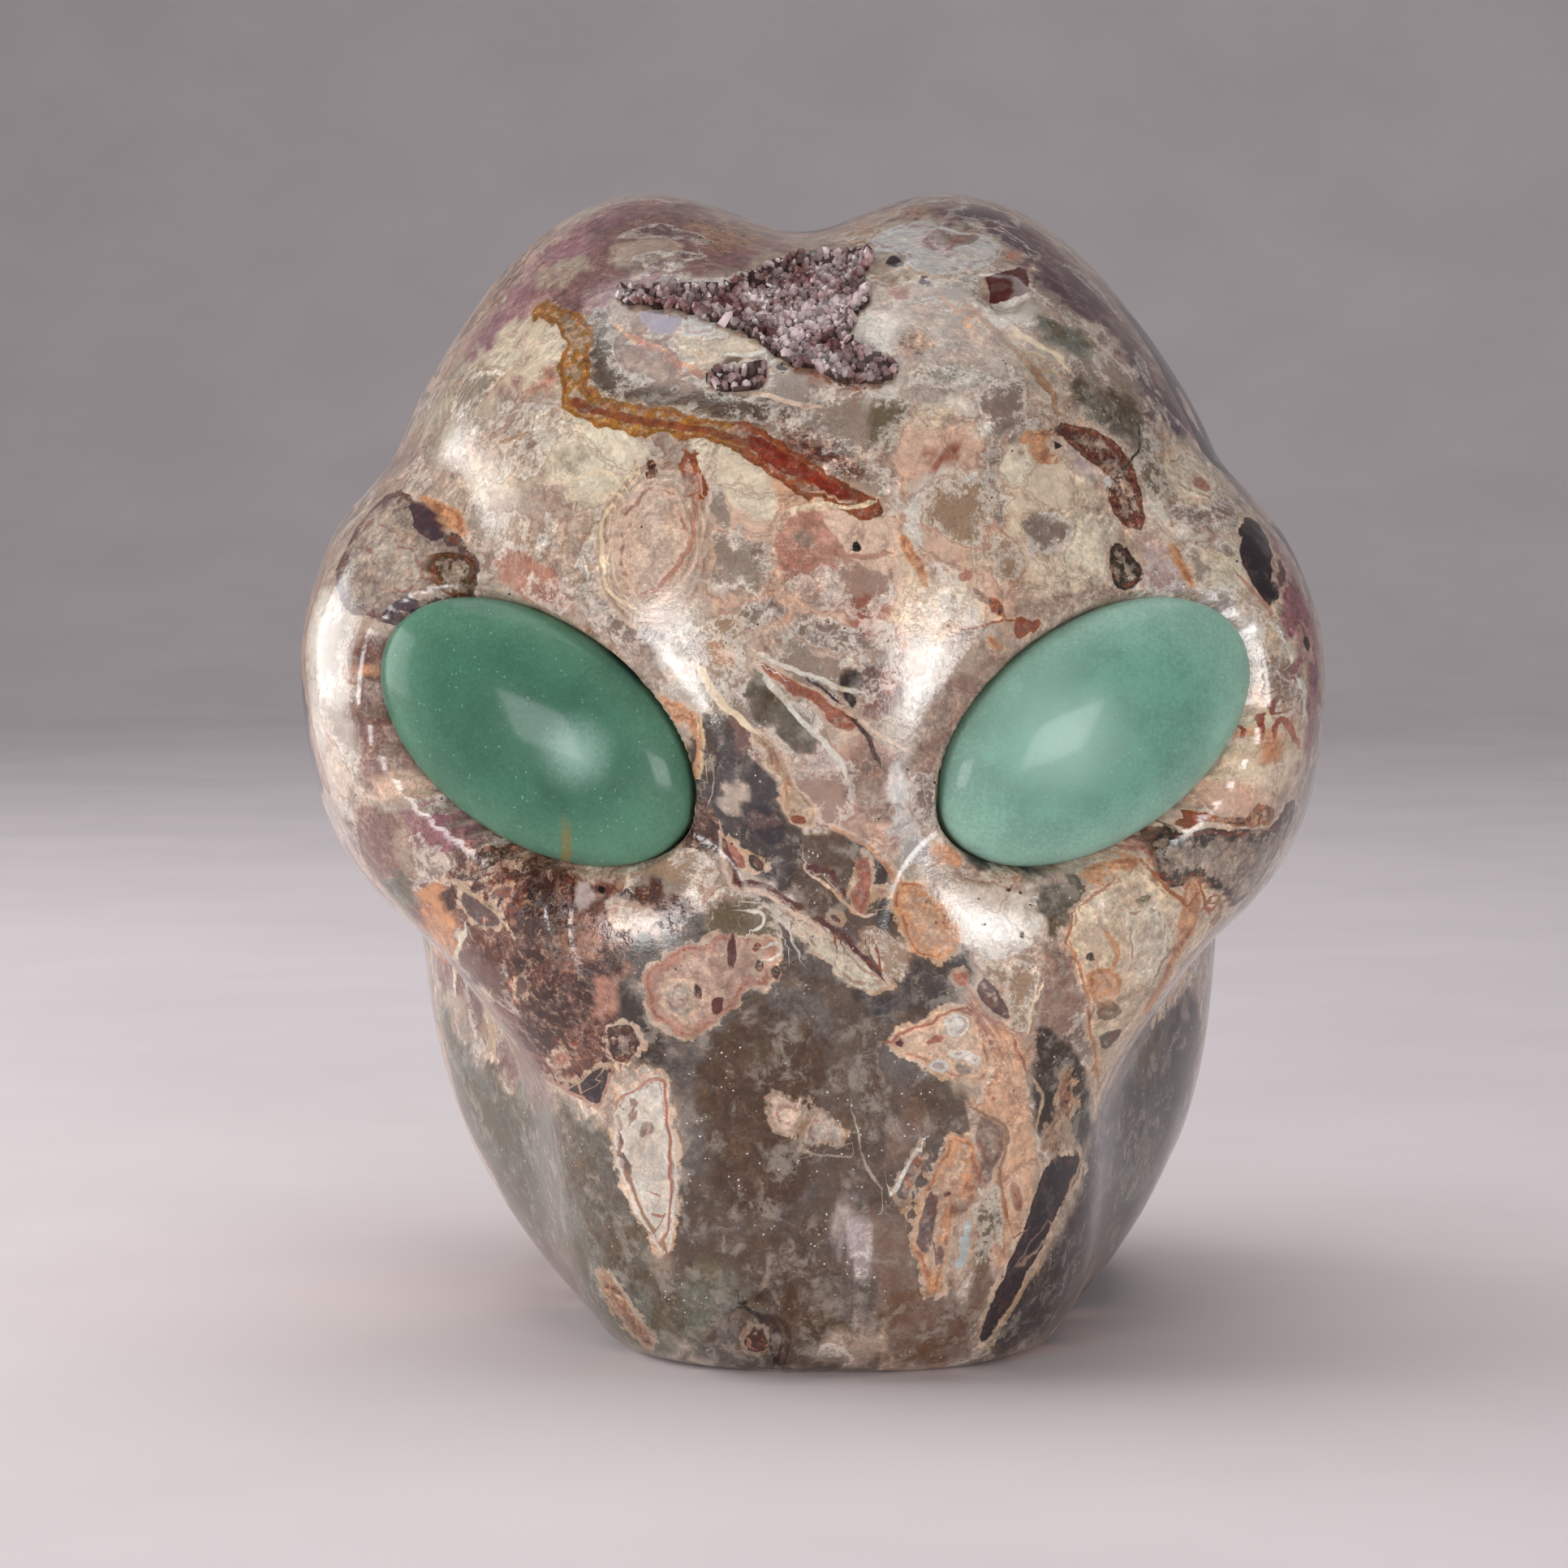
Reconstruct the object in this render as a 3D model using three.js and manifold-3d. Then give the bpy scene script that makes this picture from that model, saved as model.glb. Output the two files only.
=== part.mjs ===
// Alien skull carved from one piece of brecciated agate, with two green cabochon eyes
// glued in its sockets and a pocket of small crystals open at the crown.
// Millimetres, +Z up. The face looks along -Y and the stone stands on its flat base.

import * as THREE from "three";
import { mergeVertices } from "three/addons/utils/BufferGeometryUtils.js";
import Module from "manifold-3d";

const wasm = await Module();
wasm.setup();

// Driving dimensions
const EYE_LENGTH = 30;
const EYE_WIDTH = 18.2;
const EYE_DOME = 4.6;
const EYE_BACK = 2.4;
const EYE_AT = [22.9, -34.6, 53.9];
const EYE_YAW = 18;
const EYE_SLANT = -31;
const FIT_GAP = 0.3;
const LEAN_AT_BASE = 1.6;
const LEAN_PER_MM = 0.028;
const GRID = 21;

// Crystal pocket: its outline across the crown, seen along its own axis, and its depth
const POCKET_AT = [-0.9, -28.3, 89];
const POCKET_PITCH = 50;
const POCKET_DEPTH = 2.6;
const POCKET_OUTLINE = [
  [-15.4, 4.5], [-13.9, 4.9], [-9.7, 3.8], [-6.4, 4.1], [-3.9, 7.2], [-1.5, 11.8], [1.5, 13.4],
  [5.0, 12.4], [5.8, 9.5], [4.6, 7.0], [5.6, 2.6], [4.2, 0.0], [3.5, -3.3], [4.6, -5.2],
  [7.6, -6.6], [6.9, -8.4], [4.0, -8.6], [1.2, -7.2], [-1.5, -6.4], [-3.9, -3.3], [-6.4, -1.3],
  [-9.9, 1.1], [-12.6, 2.0], [-15.1, 3.1],
];
const CRYSTAL_COUNT = 46;
const CRYSTAL_WIDTH = 1.9;
const CRYSTAL_RISE = 1.5;
const CRUST_BED = 0.7;

// Lumps that melt together into the skull: centre, half sizes, turns in degrees, squareness
const SKULL_LUMPS = {
  cranium: { at: [0, 12, 61], half: [39, 49, 36.5], pitch: -4, square: 2.3 },
  lobe: { at: [13.5, 10, 70], half: [20.5, 40, 30], pitch: -4, paired: true },
  rear: { at: [0, 14, 41], half: [36.5, 34, 46], pitch: -9, square: 2.6 },
  brow: { at: [0, -9, 59], half: [36, 30.5, 32], square: 2.4 },
  face: { at: [0, -14, 39], half: [25, 26.5, 43], pitch: 3, square: 2.7 },
  chin: { at: [0, -6, 13], half: [23, 31, 19], square: 2.5 },
  flare: { at: [27, -12, 56], half: [16.5, 20, 20.5], yaw: -16, square: 2.5, paired: true },
  ridge: { at: [21.5, -20, 43], half: [13.5, 15, 29], roll: 33, square: 2.5, paired: true },
  cheekbone: { at: [16.5, -31, 37.5], half: [11.5, 8, 8], yaw: 24, roll: -16, square: 2.3, paired: true },
};
const SOCKET = {
  at: [24.6, -41.7, 53], half: [19.2, 8.2, 12], yaw: EYE_YAW, roll: EYE_SLANT, paired: true,
};
const SOCKET_RIM = 2.5;
const MIRROR_SOFTNESS = 2;

// Rough pits left where the stone is open: centre and half sizes
const PITS = [
  { at: [-5.2, -36.2, 4.2], half: [2.6, 1.6, 2.8] },
  { at: [8.0, -21.8, 92.6], half: [1.3, 1.4, 1.3] },
  { at: [16.2, -22.4, 90.8], half: [2.8, 1.7, 1.8] },
  { at: [20.0, -33.4, 77.2], half: [1.1, 1.2, 0.9] },
  { at: [-6.4, -34.2, 83.4], half: [2.7, 1.5, 1.1] },
];

// Finishes, as seen in daylight
const AGATE = new THREE.MeshStandardMaterial({ color: 0xa8948a, roughness: 0.12, metalness: 0 });
const AVENTURINE = new THREE.MeshStandardMaterial({ color: 0x5f9a80, roughness: 0.1, metalness: 0 });
const DRUZY = new THREE.MeshStandardMaterial({ color: 0x7d5f5c, roughness: 0.3, metalness: 0 });

function turn(yaw = 0, pitch = 0, roll = 0) {
  const rad = THREE.MathUtils.degToRad;
  return new THREE.Matrix4().makeRotationFromEuler(
    new THREE.Euler(rad(pitch), rad(roll), rad(yaw), "ZXY"),
  );
}

// Signed distance, near enough, to one lump: below zero inside it
function makeLump({ at, half, yaw, pitch, roll, square = 2, paired = false }) {
  const inverse = turn(yaw, pitch, roll).invert();
  const q = new THREE.Vector3();
  return (p) => {
    const x = paired ? Math.hypot(p.x, MIRROR_SOFTNESS) : p.x;
    q.set(x - at[0], p.y - at[1], p.z - at[2]).applyMatrix4(inverse);
    let sum = 0;
    let slope = 0;
    for (const [length, h] of [[Math.abs(q.x), half[0]], [Math.abs(q.y), half[1]], [Math.abs(q.z), half[2]]]) {
      sum += (length / h) ** square;
      slope += (length ** (square - 1) / h ** square) ** 2;
    }
    const k = sum ** (1 / square);
    return (k ** (square - 1) * (k - 1)) / (Math.sqrt(slope) + 1e-12);
  };
}

// Joins two forms with a fillet of the given width
function melt(a, b, width) {
  const h = THREE.MathUtils.clamp(0.5 + (0.5 * (b - a)) / width, 0, 1);
  return b + (a - b) * h - width * h * (1 - h);
}

function carve(a, b, width) {
  return -melt(-a, b, width);
}

const lump = Object.fromEntries(
  Object.entries(SKULL_LUMPS).map(([name, spec]) => [name, makeLump(spec)]),
);
const socket = makeLump(SOCKET);

// The groove between the two lobes of the crown
function crownGroove(p) {
  const rise = THREE.MathUtils.smoothstep(p.z + 0.35 * THREE.MathUtils.clamp(p.y - 10, 0, 60), 84, 96);
  return 1.2 * Math.exp(-((p.x / 6) ** 2)) * rise;
}

// The whole carved form, before the base is cut flat
function skullForm(point) {
  const p = new THREE.Vector3(point.x - LEAN_AT_BASE + LEAN_PER_MM * point.z, point.y, point.z);
  let d = melt(lump.cranium(p), lump.rear(p), 8);
  d = melt(d, lump.lobe(p), 4);
  d = melt(d, lump.brow(p), 8);
  d = melt(d, melt(lump.face(p), lump.chin(p), 6), 8);
  d = melt(d, melt(lump.flare(p), lump.ridge(p), 6), 3);
  d = melt(d, lump.cheekbone(p), 6);
  d += crownGroove(p);
  return carve(d, socket(p), SOCKET_RIM);
}

// A box grid blown up onto a form: each grid point runs out from a short line inside it
const CORE = { y: 10, z: 50, reach: 25 };
const FAR = 110;

function blowUp(form, depth = 0) {
  const box = new THREE.BoxGeometry(2, 2, 2, GRID, GRID, GRID);
  box.deleteAttribute("normal");
  box.deleteAttribute("uv");
  const mesh = mergeVertices(box, 1e-4);
  const place = mesh.attributes.position;
  const q = new THREE.Vector3();
  const even = (v) => Math.tan((v * Math.PI) / 4);
  for (let i = 0; i < place.count; i += 1) {
    q.fromBufferAttribute(place, i);
    const start = new THREE.Vector3(0, CORE.y + CORE.reach * q.y, CORE.z);
    const way = new THREE.Vector3(even(q.x), even(q.y), even(q.z)).normalize();
    let near = 0;
    let far = FAR;
    for (let step = 0; step < 34; step += 1) {
      const middle = (near + far) / 2;
      q.copy(start).addScaledVector(way, middle);
      if (form(q) + depth < 0) near = middle;
      else far = middle;
    }
    q.copy(start).addScaledVector(way, near);
    place.setXYZ(i, q.x, q.y, q.z);
  }
  return mesh;
}

function solidOf(geometry, matrix = new THREE.Matrix4()) {
  const bare = geometry.clone();
  for (const name of Object.keys(bare.attributes)) {
    if (name !== "position") bare.deleteAttribute(name);
  }
  bare.applyMatrix4(matrix);
  const closed = mergeVertices(bare, 1e-4);
  return new wasm.Manifold(new wasm.Mesh({
    numProp: 3,
    vertProperties: new Float32Array(closed.attributes.position.array),
    triVerts: new Uint32Array(closed.index.array),
  }));
}

function geometryOf(solid) {
  const mesh = solid.getMesh();
  const geometry = new THREE.BufferGeometry();
  geometry.setAttribute("position", new THREE.BufferAttribute(mesh.vertProperties, 3));
  geometry.setIndex(new THREE.BufferAttribute(mesh.triVerts, 1));
  geometry.computeVertexNormals();
  return geometry;
}

// Oval cabochon on its flat back: a bevel, a low girdle and a dome towards +Z
function cabochon(grow = 0) {
  const dome = EYE_DOME + grow;
  const back = EYE_BACK + grow;
  const profile = [[0, -back], [0.93, -back], [1, -back + 0.7], [1, -0.25]];
  const DOME_STEPS = 7;
  for (let i = 1; i <= DOME_STEPS; i += 1) {
    const angle = (i / DOME_STEPS) * (Math.PI / 2);
    profile.push([i === DOME_STEPS ? 0 : Math.cos(angle), dome * Math.sin(angle)]);
  }
  const points = profile.map(([radius, height]) => new THREE.Vector2(radius, height));
  const oval = new THREE.LatheGeometry(points, 36);
  oval.rotateX(Math.PI / 2);
  oval.scale(EYE_LENGTH / 2 + grow, EYE_WIDTH / 2 + grow, 1);
  return oval;
}

// side is 1 for the eye on +X and -1 for the one on -X
function eyePlace(side) {
  const lean = LEAN_AT_BASE - LEAN_PER_MM * EYE_AT[2];
  const outward = new THREE.Matrix4().makeRotationX(Math.PI / 2);
  const tilt = turn(side * EYE_YAW, 0, side * EYE_SLANT).multiply(outward);
  const at = new THREE.Matrix4().makeTranslation(side * EYE_AT[0] + lean, EYE_AT[1], EYE_AT[2]);
  return at.multiply(tilt);
}

// The pocket's own frame: +Z points out of the crown, up and forward
function pocketPlace(offset = 0) {
  const tilt = new THREE.Matrix4().makeRotationX(THREE.MathUtils.degToRad(90 - POCKET_PITCH));
  const at = new THREE.Matrix4().makeTranslation(...POCKET_AT);
  return at.multiply(tilt).multiply(new THREE.Matrix4().makeTranslation(0, 0, offset));
}

function pocketPrism(inset, low, high) {
  const outline = POCKET_OUTLINE.map(([x, y], i) => {
    const before = POCKET_OUTLINE.at(i - 1);
    const after = POCKET_OUTLINE[(i + 1) % POCKET_OUTLINE.length];
    const along = new THREE.Vector2(after[0] - before[0], after[1] - before[1]).normalize();
    return new THREE.Vector2(x + along.y * inset, y - along.x * inset);
  });
  const shape = new THREE.Shape(outline);
  const prism = new THREE.ExtrudeGeometry(shape, { depth: high - low, bevelEnabled: false });
  return solidOf(prism, pocketPlace(low));
}

function makeSkull(outer, floor) {
  const BASE_CUT = 200;
  const below = new THREE.BoxGeometry(BASE_CUT, BASE_CUT, BASE_CUT);
  below.translate(0, 0, -BASE_CUT / 2);
  let stone = outer.subtract(solidOf(below));
  for (const side of [1, -1]) {
    stone = stone.subtract(solidOf(cabochon(FIT_GAP), eyePlace(side)));
  }
  stone = stone.subtract(pocketPrism(0, -14, 14).subtract(floor));
  for (const { at, half } of PITS) {
    const pit = new THREE.IcosahedronGeometry(1, 1).scale(...half);
    stone = stone.subtract(solidOf(pit, new THREE.Matrix4().makeTranslation(...at)));
  }
  return new THREE.Mesh(geometryOf(stone), AGATE);
}

// One six-sided crystal with a blunt point, standing on its root
function crystal(width, rise) {
  const root = -1.2;
  const profile = [[0, root], [width / 2, root], [width / 2, rise * 0.45], [0, rise]];
  const points = profile.map(([x, y]) => new THREE.Vector2(x, y));
  return new THREE.LatheGeometry(points, 6).rotateX(Math.PI / 2);
}

// The druzy crust: a thin bed that follows the pocket's floor, covered in crystals
function makeCrust(bedTop, bedLow) {
  const wall = pocketPrism(FIT_GAP * 1.4, -14, 14);
  let crust = wall.intersect(bedTop);
  const spots = [];
  const golden = Math.PI * (3 - Math.sqrt(5));
  const shape = POCKET_OUTLINE.map(([x, y]) => new THREE.Vector2(x, y));
  for (let i = 0; spots.length < CRYSTAL_COUNT && i < 400; i += 1) {
    const reach = 1.45 * Math.sqrt(i + 0.5);
    const x = -1.6 + reach * Math.cos(i * golden);
    const y = 2.0 + reach * Math.sin(i * golden);
    if (insideOutline(x, y, shape)) spots.push([x, y, i]);
  }
  for (const [x, y, i] of spots) {
    const width = CRYSTAL_WIDTH * (0.8 + 0.35 * Math.abs(Math.sin(i * 2.3)));
    const rise = CRYSTAL_RISE * (0.6 + 0.4 * Math.abs(Math.cos(i * 1.7)));
    const local = pocketPlace().multiply(new THREE.Matrix4().makeTranslation(x, y, bedHeight(x, y)));
    local.multiply(turn(40 * i, 16 * Math.sin(i * 3.1), 16 * Math.cos(i * 4.7)));
    crust = crust.add(solidOf(crystal(width, rise), local).intersect(wall));
  }
  return new THREE.Mesh(geometryOf(crust.subtract(bedLow)), DRUZY);
}

function insideOutline(x, y, outline) {
  let inside = false;
  for (let i = 0, j = outline.length - 1; i < outline.length; j = i, i += 1) {
    const a = outline[i];
    const b = outline[j];
    if (a.y > y !== b.y > y && x < ((b.x - a.x) * (y - a.y)) / (b.y - a.y) + a.x) inside = !inside;
  }
  return inside;
}

// Height of the bed's top in the pocket's frame, found by walking in from outside
function bedHeight(x, y) {
  const point = new THREE.Vector3();
  const place = pocketPlace();
  for (let z = 12; z > -12; z -= 0.1) {
    point.set(x, y, z).applyMatrix4(place);
    if (skullForm(point) + POCKET_DEPTH - CRUST_BED < 0) return z;
  }
  return -12;
}

const outer = solidOf(blowUp(skullForm));
const pocketFloor = solidOf(blowUp(skullForm, POCKET_DEPTH));
const bedTop = solidOf(blowUp(skullForm, POCKET_DEPTH - CRUST_BED));
const bedLow = solidOf(blowUp(skullForm, POCKET_DEPTH - FIT_GAP));

const carving = new THREE.Group();

const skull = makeSkull(outer, pocketFloor);
skull.name = "skull";
carving.add(skull);

for (const [name, side] of [["eye_right", 1], ["eye_left", -1]]) {
  const eye = new THREE.Mesh(cabochon(), AVENTURINE);
  eye.name = name;
  eye.applyMatrix4(eyePlace(side));
  carving.add(eye);
}

const crust = makeCrust(bedTop, bedLow);
crust.name = "druzy_crust";
carving.add(crust);

// The origin is on the flat base, under the middle of the stone
carving.updateMatrixWorld(true);
const middle = new THREE.Box3().setFromObject(carving, true).getCenter(new THREE.Vector3());
carving.position.set(-middle.x, -middle.y, 0);
carving.updateMatrixWorld(true);

export default carving;
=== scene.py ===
# Looks of a polished agate carving: an alien skull with green cabochon eyes and a crystal pocket.
import math

import bpy
import numpy as np
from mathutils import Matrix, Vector


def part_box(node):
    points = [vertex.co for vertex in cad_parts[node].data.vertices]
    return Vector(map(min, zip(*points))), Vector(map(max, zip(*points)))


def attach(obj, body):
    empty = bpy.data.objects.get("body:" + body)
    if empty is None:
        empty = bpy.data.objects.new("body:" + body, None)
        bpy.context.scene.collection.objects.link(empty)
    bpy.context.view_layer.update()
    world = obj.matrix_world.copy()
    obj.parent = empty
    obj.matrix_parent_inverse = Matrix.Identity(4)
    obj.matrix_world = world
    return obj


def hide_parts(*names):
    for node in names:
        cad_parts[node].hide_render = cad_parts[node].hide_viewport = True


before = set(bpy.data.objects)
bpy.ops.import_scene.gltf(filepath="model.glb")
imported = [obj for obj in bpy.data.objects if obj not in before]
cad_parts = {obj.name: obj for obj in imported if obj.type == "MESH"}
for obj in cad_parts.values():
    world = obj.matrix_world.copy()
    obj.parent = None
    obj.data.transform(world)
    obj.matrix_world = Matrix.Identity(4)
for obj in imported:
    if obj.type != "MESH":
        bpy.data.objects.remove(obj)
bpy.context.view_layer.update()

bl_info = {
    "name": "Agate alien skull",
    "version": (1, 0, 0),
    "blender": (4, 5, 0),
    "location": "View3D > Sidebar > Carving",
    "description": "Builds a polished agate skull with cabochon eyes and a druzy pocket",
    "category": "Add Mesh",
}

MM = 0.001

# The carving's form, in millimetres: the same lumps as the solid it is dressed over.
# Each has a centre, half sizes, turns in degrees and a squareness; paired ones are on both sides.
LUMPS = {
    "cranium": dict(at=(0, 12, 61), half=(39, 49, 36.5), pitch=-4, square=2.3),
    "lobe": dict(at=(13.5, 10, 70), half=(20.5, 40, 30), pitch=-4, paired=True),
    "rear": dict(at=(0, 14, 41), half=(36.5, 34, 46), pitch=-9, square=2.6),
    "brow": dict(at=(0, -9, 59), half=(36, 30.5, 32), square=2.4),
    "face": dict(at=(0, -14, 39), half=(25, 26.5, 43), pitch=3, square=2.7),
    "chin": dict(at=(0, -6, 13), half=(23, 31, 19), square=2.5),
    "flare": dict(at=(27, -12, 56), half=(16.5, 20, 20.5), yaw=-16, square=2.5, paired=True),
    "ridge": dict(at=(21.5, -20, 43), half=(13.5, 15, 29), roll=33, square=2.5, paired=True),
    "cheekbone": dict(at=(16.5, -31, 37.5), half=(11.5, 8, 8), yaw=24, roll=-16, square=2.3, paired=True),
    "socket": dict(at=(24.6, -41.7, 53), half=(19.2, 8.2, 12), yaw=18, roll=-31, paired=True),
}
SOCKET_RIM = 2.5
# Shallow domes polished under the eyes: a point on the stone, the way the dome faces, its depth and its reach
FLATS = [
    ((-12.9, -41.0, 38.9), (-0.235, -0.965, 0.115), 0.7, 7.6),
    ((14.8, -41.0, 38.9), (0.175, -0.979, 0.102), 0.8, 8.6),
]
FLAT_RADIUS = 48.0
# A dome lets go of the stone by this many times its reach, where it has lifted this far
FLAT_FADE = 1.8
FLAT_LIFT = 8.0
FLAT_EDGE = 1.6
# The groove between the crown's lobes: how deep and wide, and the heights where it starts and is whole
GROOVE_DEPTH = 1.2
GROOVE_WIDTH = 6.0
GROOVE_FROM, GROOVE_WHOLE = 84, 96
MIRROR_SOFTNESS = 2.0
LEAN_AT_BASE = 1.6
LEAN_PER_MM = 0.028
BASE_EDGE = 1.4

# The line inside the stone that every point of the surface is blown out from
CORE_Y = 10.0
CORE_Z = 50.0
CORE_REACH = 25.0
BLOW_REACH = 110.0
GRID = (144, 92, 144)
# The ripple that the polishing left: its height and size, and the level it starts at, over the flat base
RIPPLE_HEIGHT = 0.05
RIPPLE_SIZE = 9.0
RIPPLE_FROM = 1.5

EYE_AT = (22.9, -34.6, 53.9)
EYE_YAW = 18.0
EYE_SLANT = -31.0
EYE_DOME = 4.6
EYE_BACK = 2.4
SEAT_GAP = 0.35

POCKET_AT = (-0.9, -28.3, 89.0)
POCKET_PITCH = 50.0
POCKET_DEPTH = 1.6
POCKET_NEAR = 14.0
BED_RISE = 0.45
# The crust's sheet: its first corner, the size and number of its squares each way, and its thickness
BED_LOW = (-17.0, -11.0)
BED_STEP = 0.45
BED_SQUARES = 58
BED_THICKNESS = 0.8
# Crystals stand between these corners, with this many times their size between them at least
CRYSTALS_FROM, CRYSTALS_TO = (-16, -11), (9, 14.5)
CRYSTAL_GAP = 0.62
CRYSTAL_TILT = 0.38
POCKET_OUTLINE = (
    "-15.4,4.5 -13.9,4.9 -9.7,3.8 -6.4,4.1 -3.9,7.2 -1.5,11.8 1.5,13.4 5,12.4 5.8,9.5 4.6,7 5.6,2.6 4.2,0"
    " 3.5,-3.3 4.6,-5.2 7.6,-6.6 6.9,-8.4 4,-8.6 1.2,-7.2 -1.5,-6.4 -3.9,-3.3 -6.4,-1.3 -9.9,1.1 -12.6,2"
    " -15.1,3.1"
)
SIDE_POCKET_OUTLINE = "-8,-8 -6.2,-7.2 -2.9,-6.9 -3.6,-8.8 -4.2,-9.4 -6.8,-9.2"

# Open pits: centre, radius and depth
PITS = [
    ((-5.2, -36.6, 4.2), 2.9, 1.5),
    ((7.6, -22.2, 92.6), 1.3, 1.3),
    ((16.2, -22.6, 90.9), 2.6, 1.6),
    ((20.0, -33.6, 77.2), 1.0, 1.0),
    ((9.6, -24.7, 91.2), 0.8, 0.7),
    ((-17.4, -38.8, 41.2), 0.45, 0.5),
    ((17.7, -39.2, 39.9), 0.6, 0.6),
]

# The photographed view: from this far, aimed at this point, this high above the horizon
VIEW_AIM = (-2.5, -12.0, 48.0)
VIEW_DISTANCE = 400.0
VIEW_ELEVATION = 4.0
# Markings on the face are placed across and up from the aim, where this far from the lens
MARKING_DISTANCE = 377.3

SENSOR_WIDTH = 36.0
LENS = 105.47
# Markings are stored as tints with a signed distance, in millimetres, packed into this span
EDGE_SPAN = 20.0
FAR_FROM_EDGE = 9.0
# The face's chart holds where the surface is seen this squarely: from none of it to all of it.
# Its markings draw in by this much where it ends, and the shards inside the stone where it holds.
FACE_FROM, FACE_WHOLE = 0.06, 0.26
FACE_DRAW_IN = 6.0
SHARD_DRAW_IN = 5.0
# What the softness of every ground is multiplied by
GROUND_SOFTNESS = 0.55
# A vein wanders by this much, and its tint is kept to the first distance and gone at the second
VEIN_WARP = 0.25
VEIN_WHOLE, VEIN_GONE = 0.9, 1.3
# Tints of the sides, back and top, from one ripple of the stone to the next, and of the shards in them
RIPPLE_TINTS = ["quartz", "grey quartz", "mauve brown", "grey blob", "pink cloud", "cream", "grey cloud",
                "pink cream", "mauve", "plum", "quartz"]
SHARD_TINTS = ["plum", "dark plum", "mauve", "tan", "peach", "pink cream", "red brown", "grey blob", "salmon",
               "dark quartz", "mauve brown", "cream", "dark violet", "brown tan"]
# Shards in the large and in the small layer: how many, from what size to what size, and the seed
SHARDS = [(150, (3, 9), 5), (260, (0.8, 3.2), 6)]

# Soft lights round the carving: name, azimuth, elevation, distance, width and height, and power in watts
STUDIO_LIGHTS = [
    ("left softbox", 31, 4, 0.7, (0.22, 0.24), 1.5),
    ("right softbox", -23, 3, 0.7, (0.24, 0.28), 1.95),
    ("left window", 104, 8, 0.6, (0.55, 0.46), 3.3),
    ("overhead softbox", 185, 82, 0.9, (0.9, 0.8), 3.7),
]

# Islands inside every tint of stone: size in millimetres, what they multiply the tint by, and their share
ISLANDS = [
    (4.2, (0.80, 0.76, 0.75), 0.53),
    (2.4, (0.98, 0.82, 0.74), 0.54),
    (1.5, (0.74, 0.76, 0.80), 0.53),
    (0.9, (1.25, 1.22, 1.18), 0.54),
]

# Cells of broken agate, this many millimetres across, and what a clear one multiplies the tint by
CELL_SIZE = 5.5
WINDOW_TINT = (0.66, 0.60, 0.57, 1)
# Grounds whose outlines are windows, ringed with pale growths
WINDOW_GROUNDS = {"grey blob", "tan", "grey band", "pink quartz", "olive", "green quartz"}

# Each eye: its side, its name, where a painted highlight lies in it, and how far that reaches
EYES = [(-1, "left", (-19.3, -40.2, 52.6), 4.0), (1, "right", (20.1, -40.1, 53.8), 8.0)]
# The brown streak in the left eye: where it runs, and the height it reaches up to
EYE_VEIN = (-20.1, 46.0)

BED_TINT = (0.10, 0.065, 0.06, 1.0)
# The floor, in millimetres: half its width, its front edge, where it starts to curve up, the curve's
# radius, and the top of the wall behind
FLOOR_HALF_WIDTH = 2500
FLOOR_FRONT = -1500
FLOOR_CURVE_FROM = 900
FLOOR_CURVE = 600
FLOOR_WALL_TOP = 2600

# Tints of the stone as seen in daylight, each with the look it has close up
TINTS = {
    "cream": ("d0c4ae", "chalky"), "yellow cream": ("e0d6c0", "chalky"), "warm cream": ("ead4b4", "chalky"),
    "pink cream": ("d8bca8", "chalky"), "peach": ("dcb596", "chalky"), "orange": ("cf9a72", "chalky"),
    "deep orange": ("a8683e", "speckled"), "salmon": ("b88a78", "chalky"),
    "salmon red": ("a86e5a", "cloudy"),
    "pink cloud": ("c2a597", "cloudy"), "white": ("dcd5ca", "frosted"), "cool white": ("cfcdcb", "frosted"),
    "grey cloud": ("b3a598", "cloudy"), "grey blob": ("9c8c82", "cloudy"),
    "grey band": ("6c5c50", "banded"),
    "agate ring": ("bda795", "banded"), "tan": ("baa186", "chalky"), "brown tan": ("a07c60", "speckled"),
    "amber": ("9a6a2a", "glowing"),
    "rust": ("8c4c2c", "glowing"), "red": ("88301a", "glowing"), "dark red": ("54231f", "smooth"),
    "lavender": ("9d93a3", "smooth"), "pale lavender": ("bfb4b7", "cloudy"), "plum": ("655351", "cloudy"),
    "dark plum": ("46353c", "smooth"), "dark violet": ("2a2228", "smooth"), "black": ("120c0b", "smooth"),
    "quartz": ("5b4d42", "clear"), "brown quartz": ("4c361e", "clear"), "grey quartz": ("625c52", "clear"),
    "dark quartz": ("383029", "clear"), "violet quartz": ("3e383a", "clear"),
    "green quartz": ("767c70", "clear"),
    "smoky quartz": ("5f5753", "clear"), "pink quartz": ("8d7364", "clear"), "olive": ("82775f", "cloudy"),
    "pale olive": ("b0a693", "streaked"),
    "red brown": ("683e30", "speckled"), "dark brown": ("40251c", "speckled"),
    "mass brown": ("8d6450", "speckled"),
    "mauve": ("978174", "cloudy"), "mauve brown": ("846660", "cloudy"),
    "crown mauve": ("946a74", "streaked"),
    "crown brown": ("7a5858", "streaked"), "crown plum": ("563e49", "streaked"),
    "blue white": ("b9c0c0", "frosted"),
}

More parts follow.
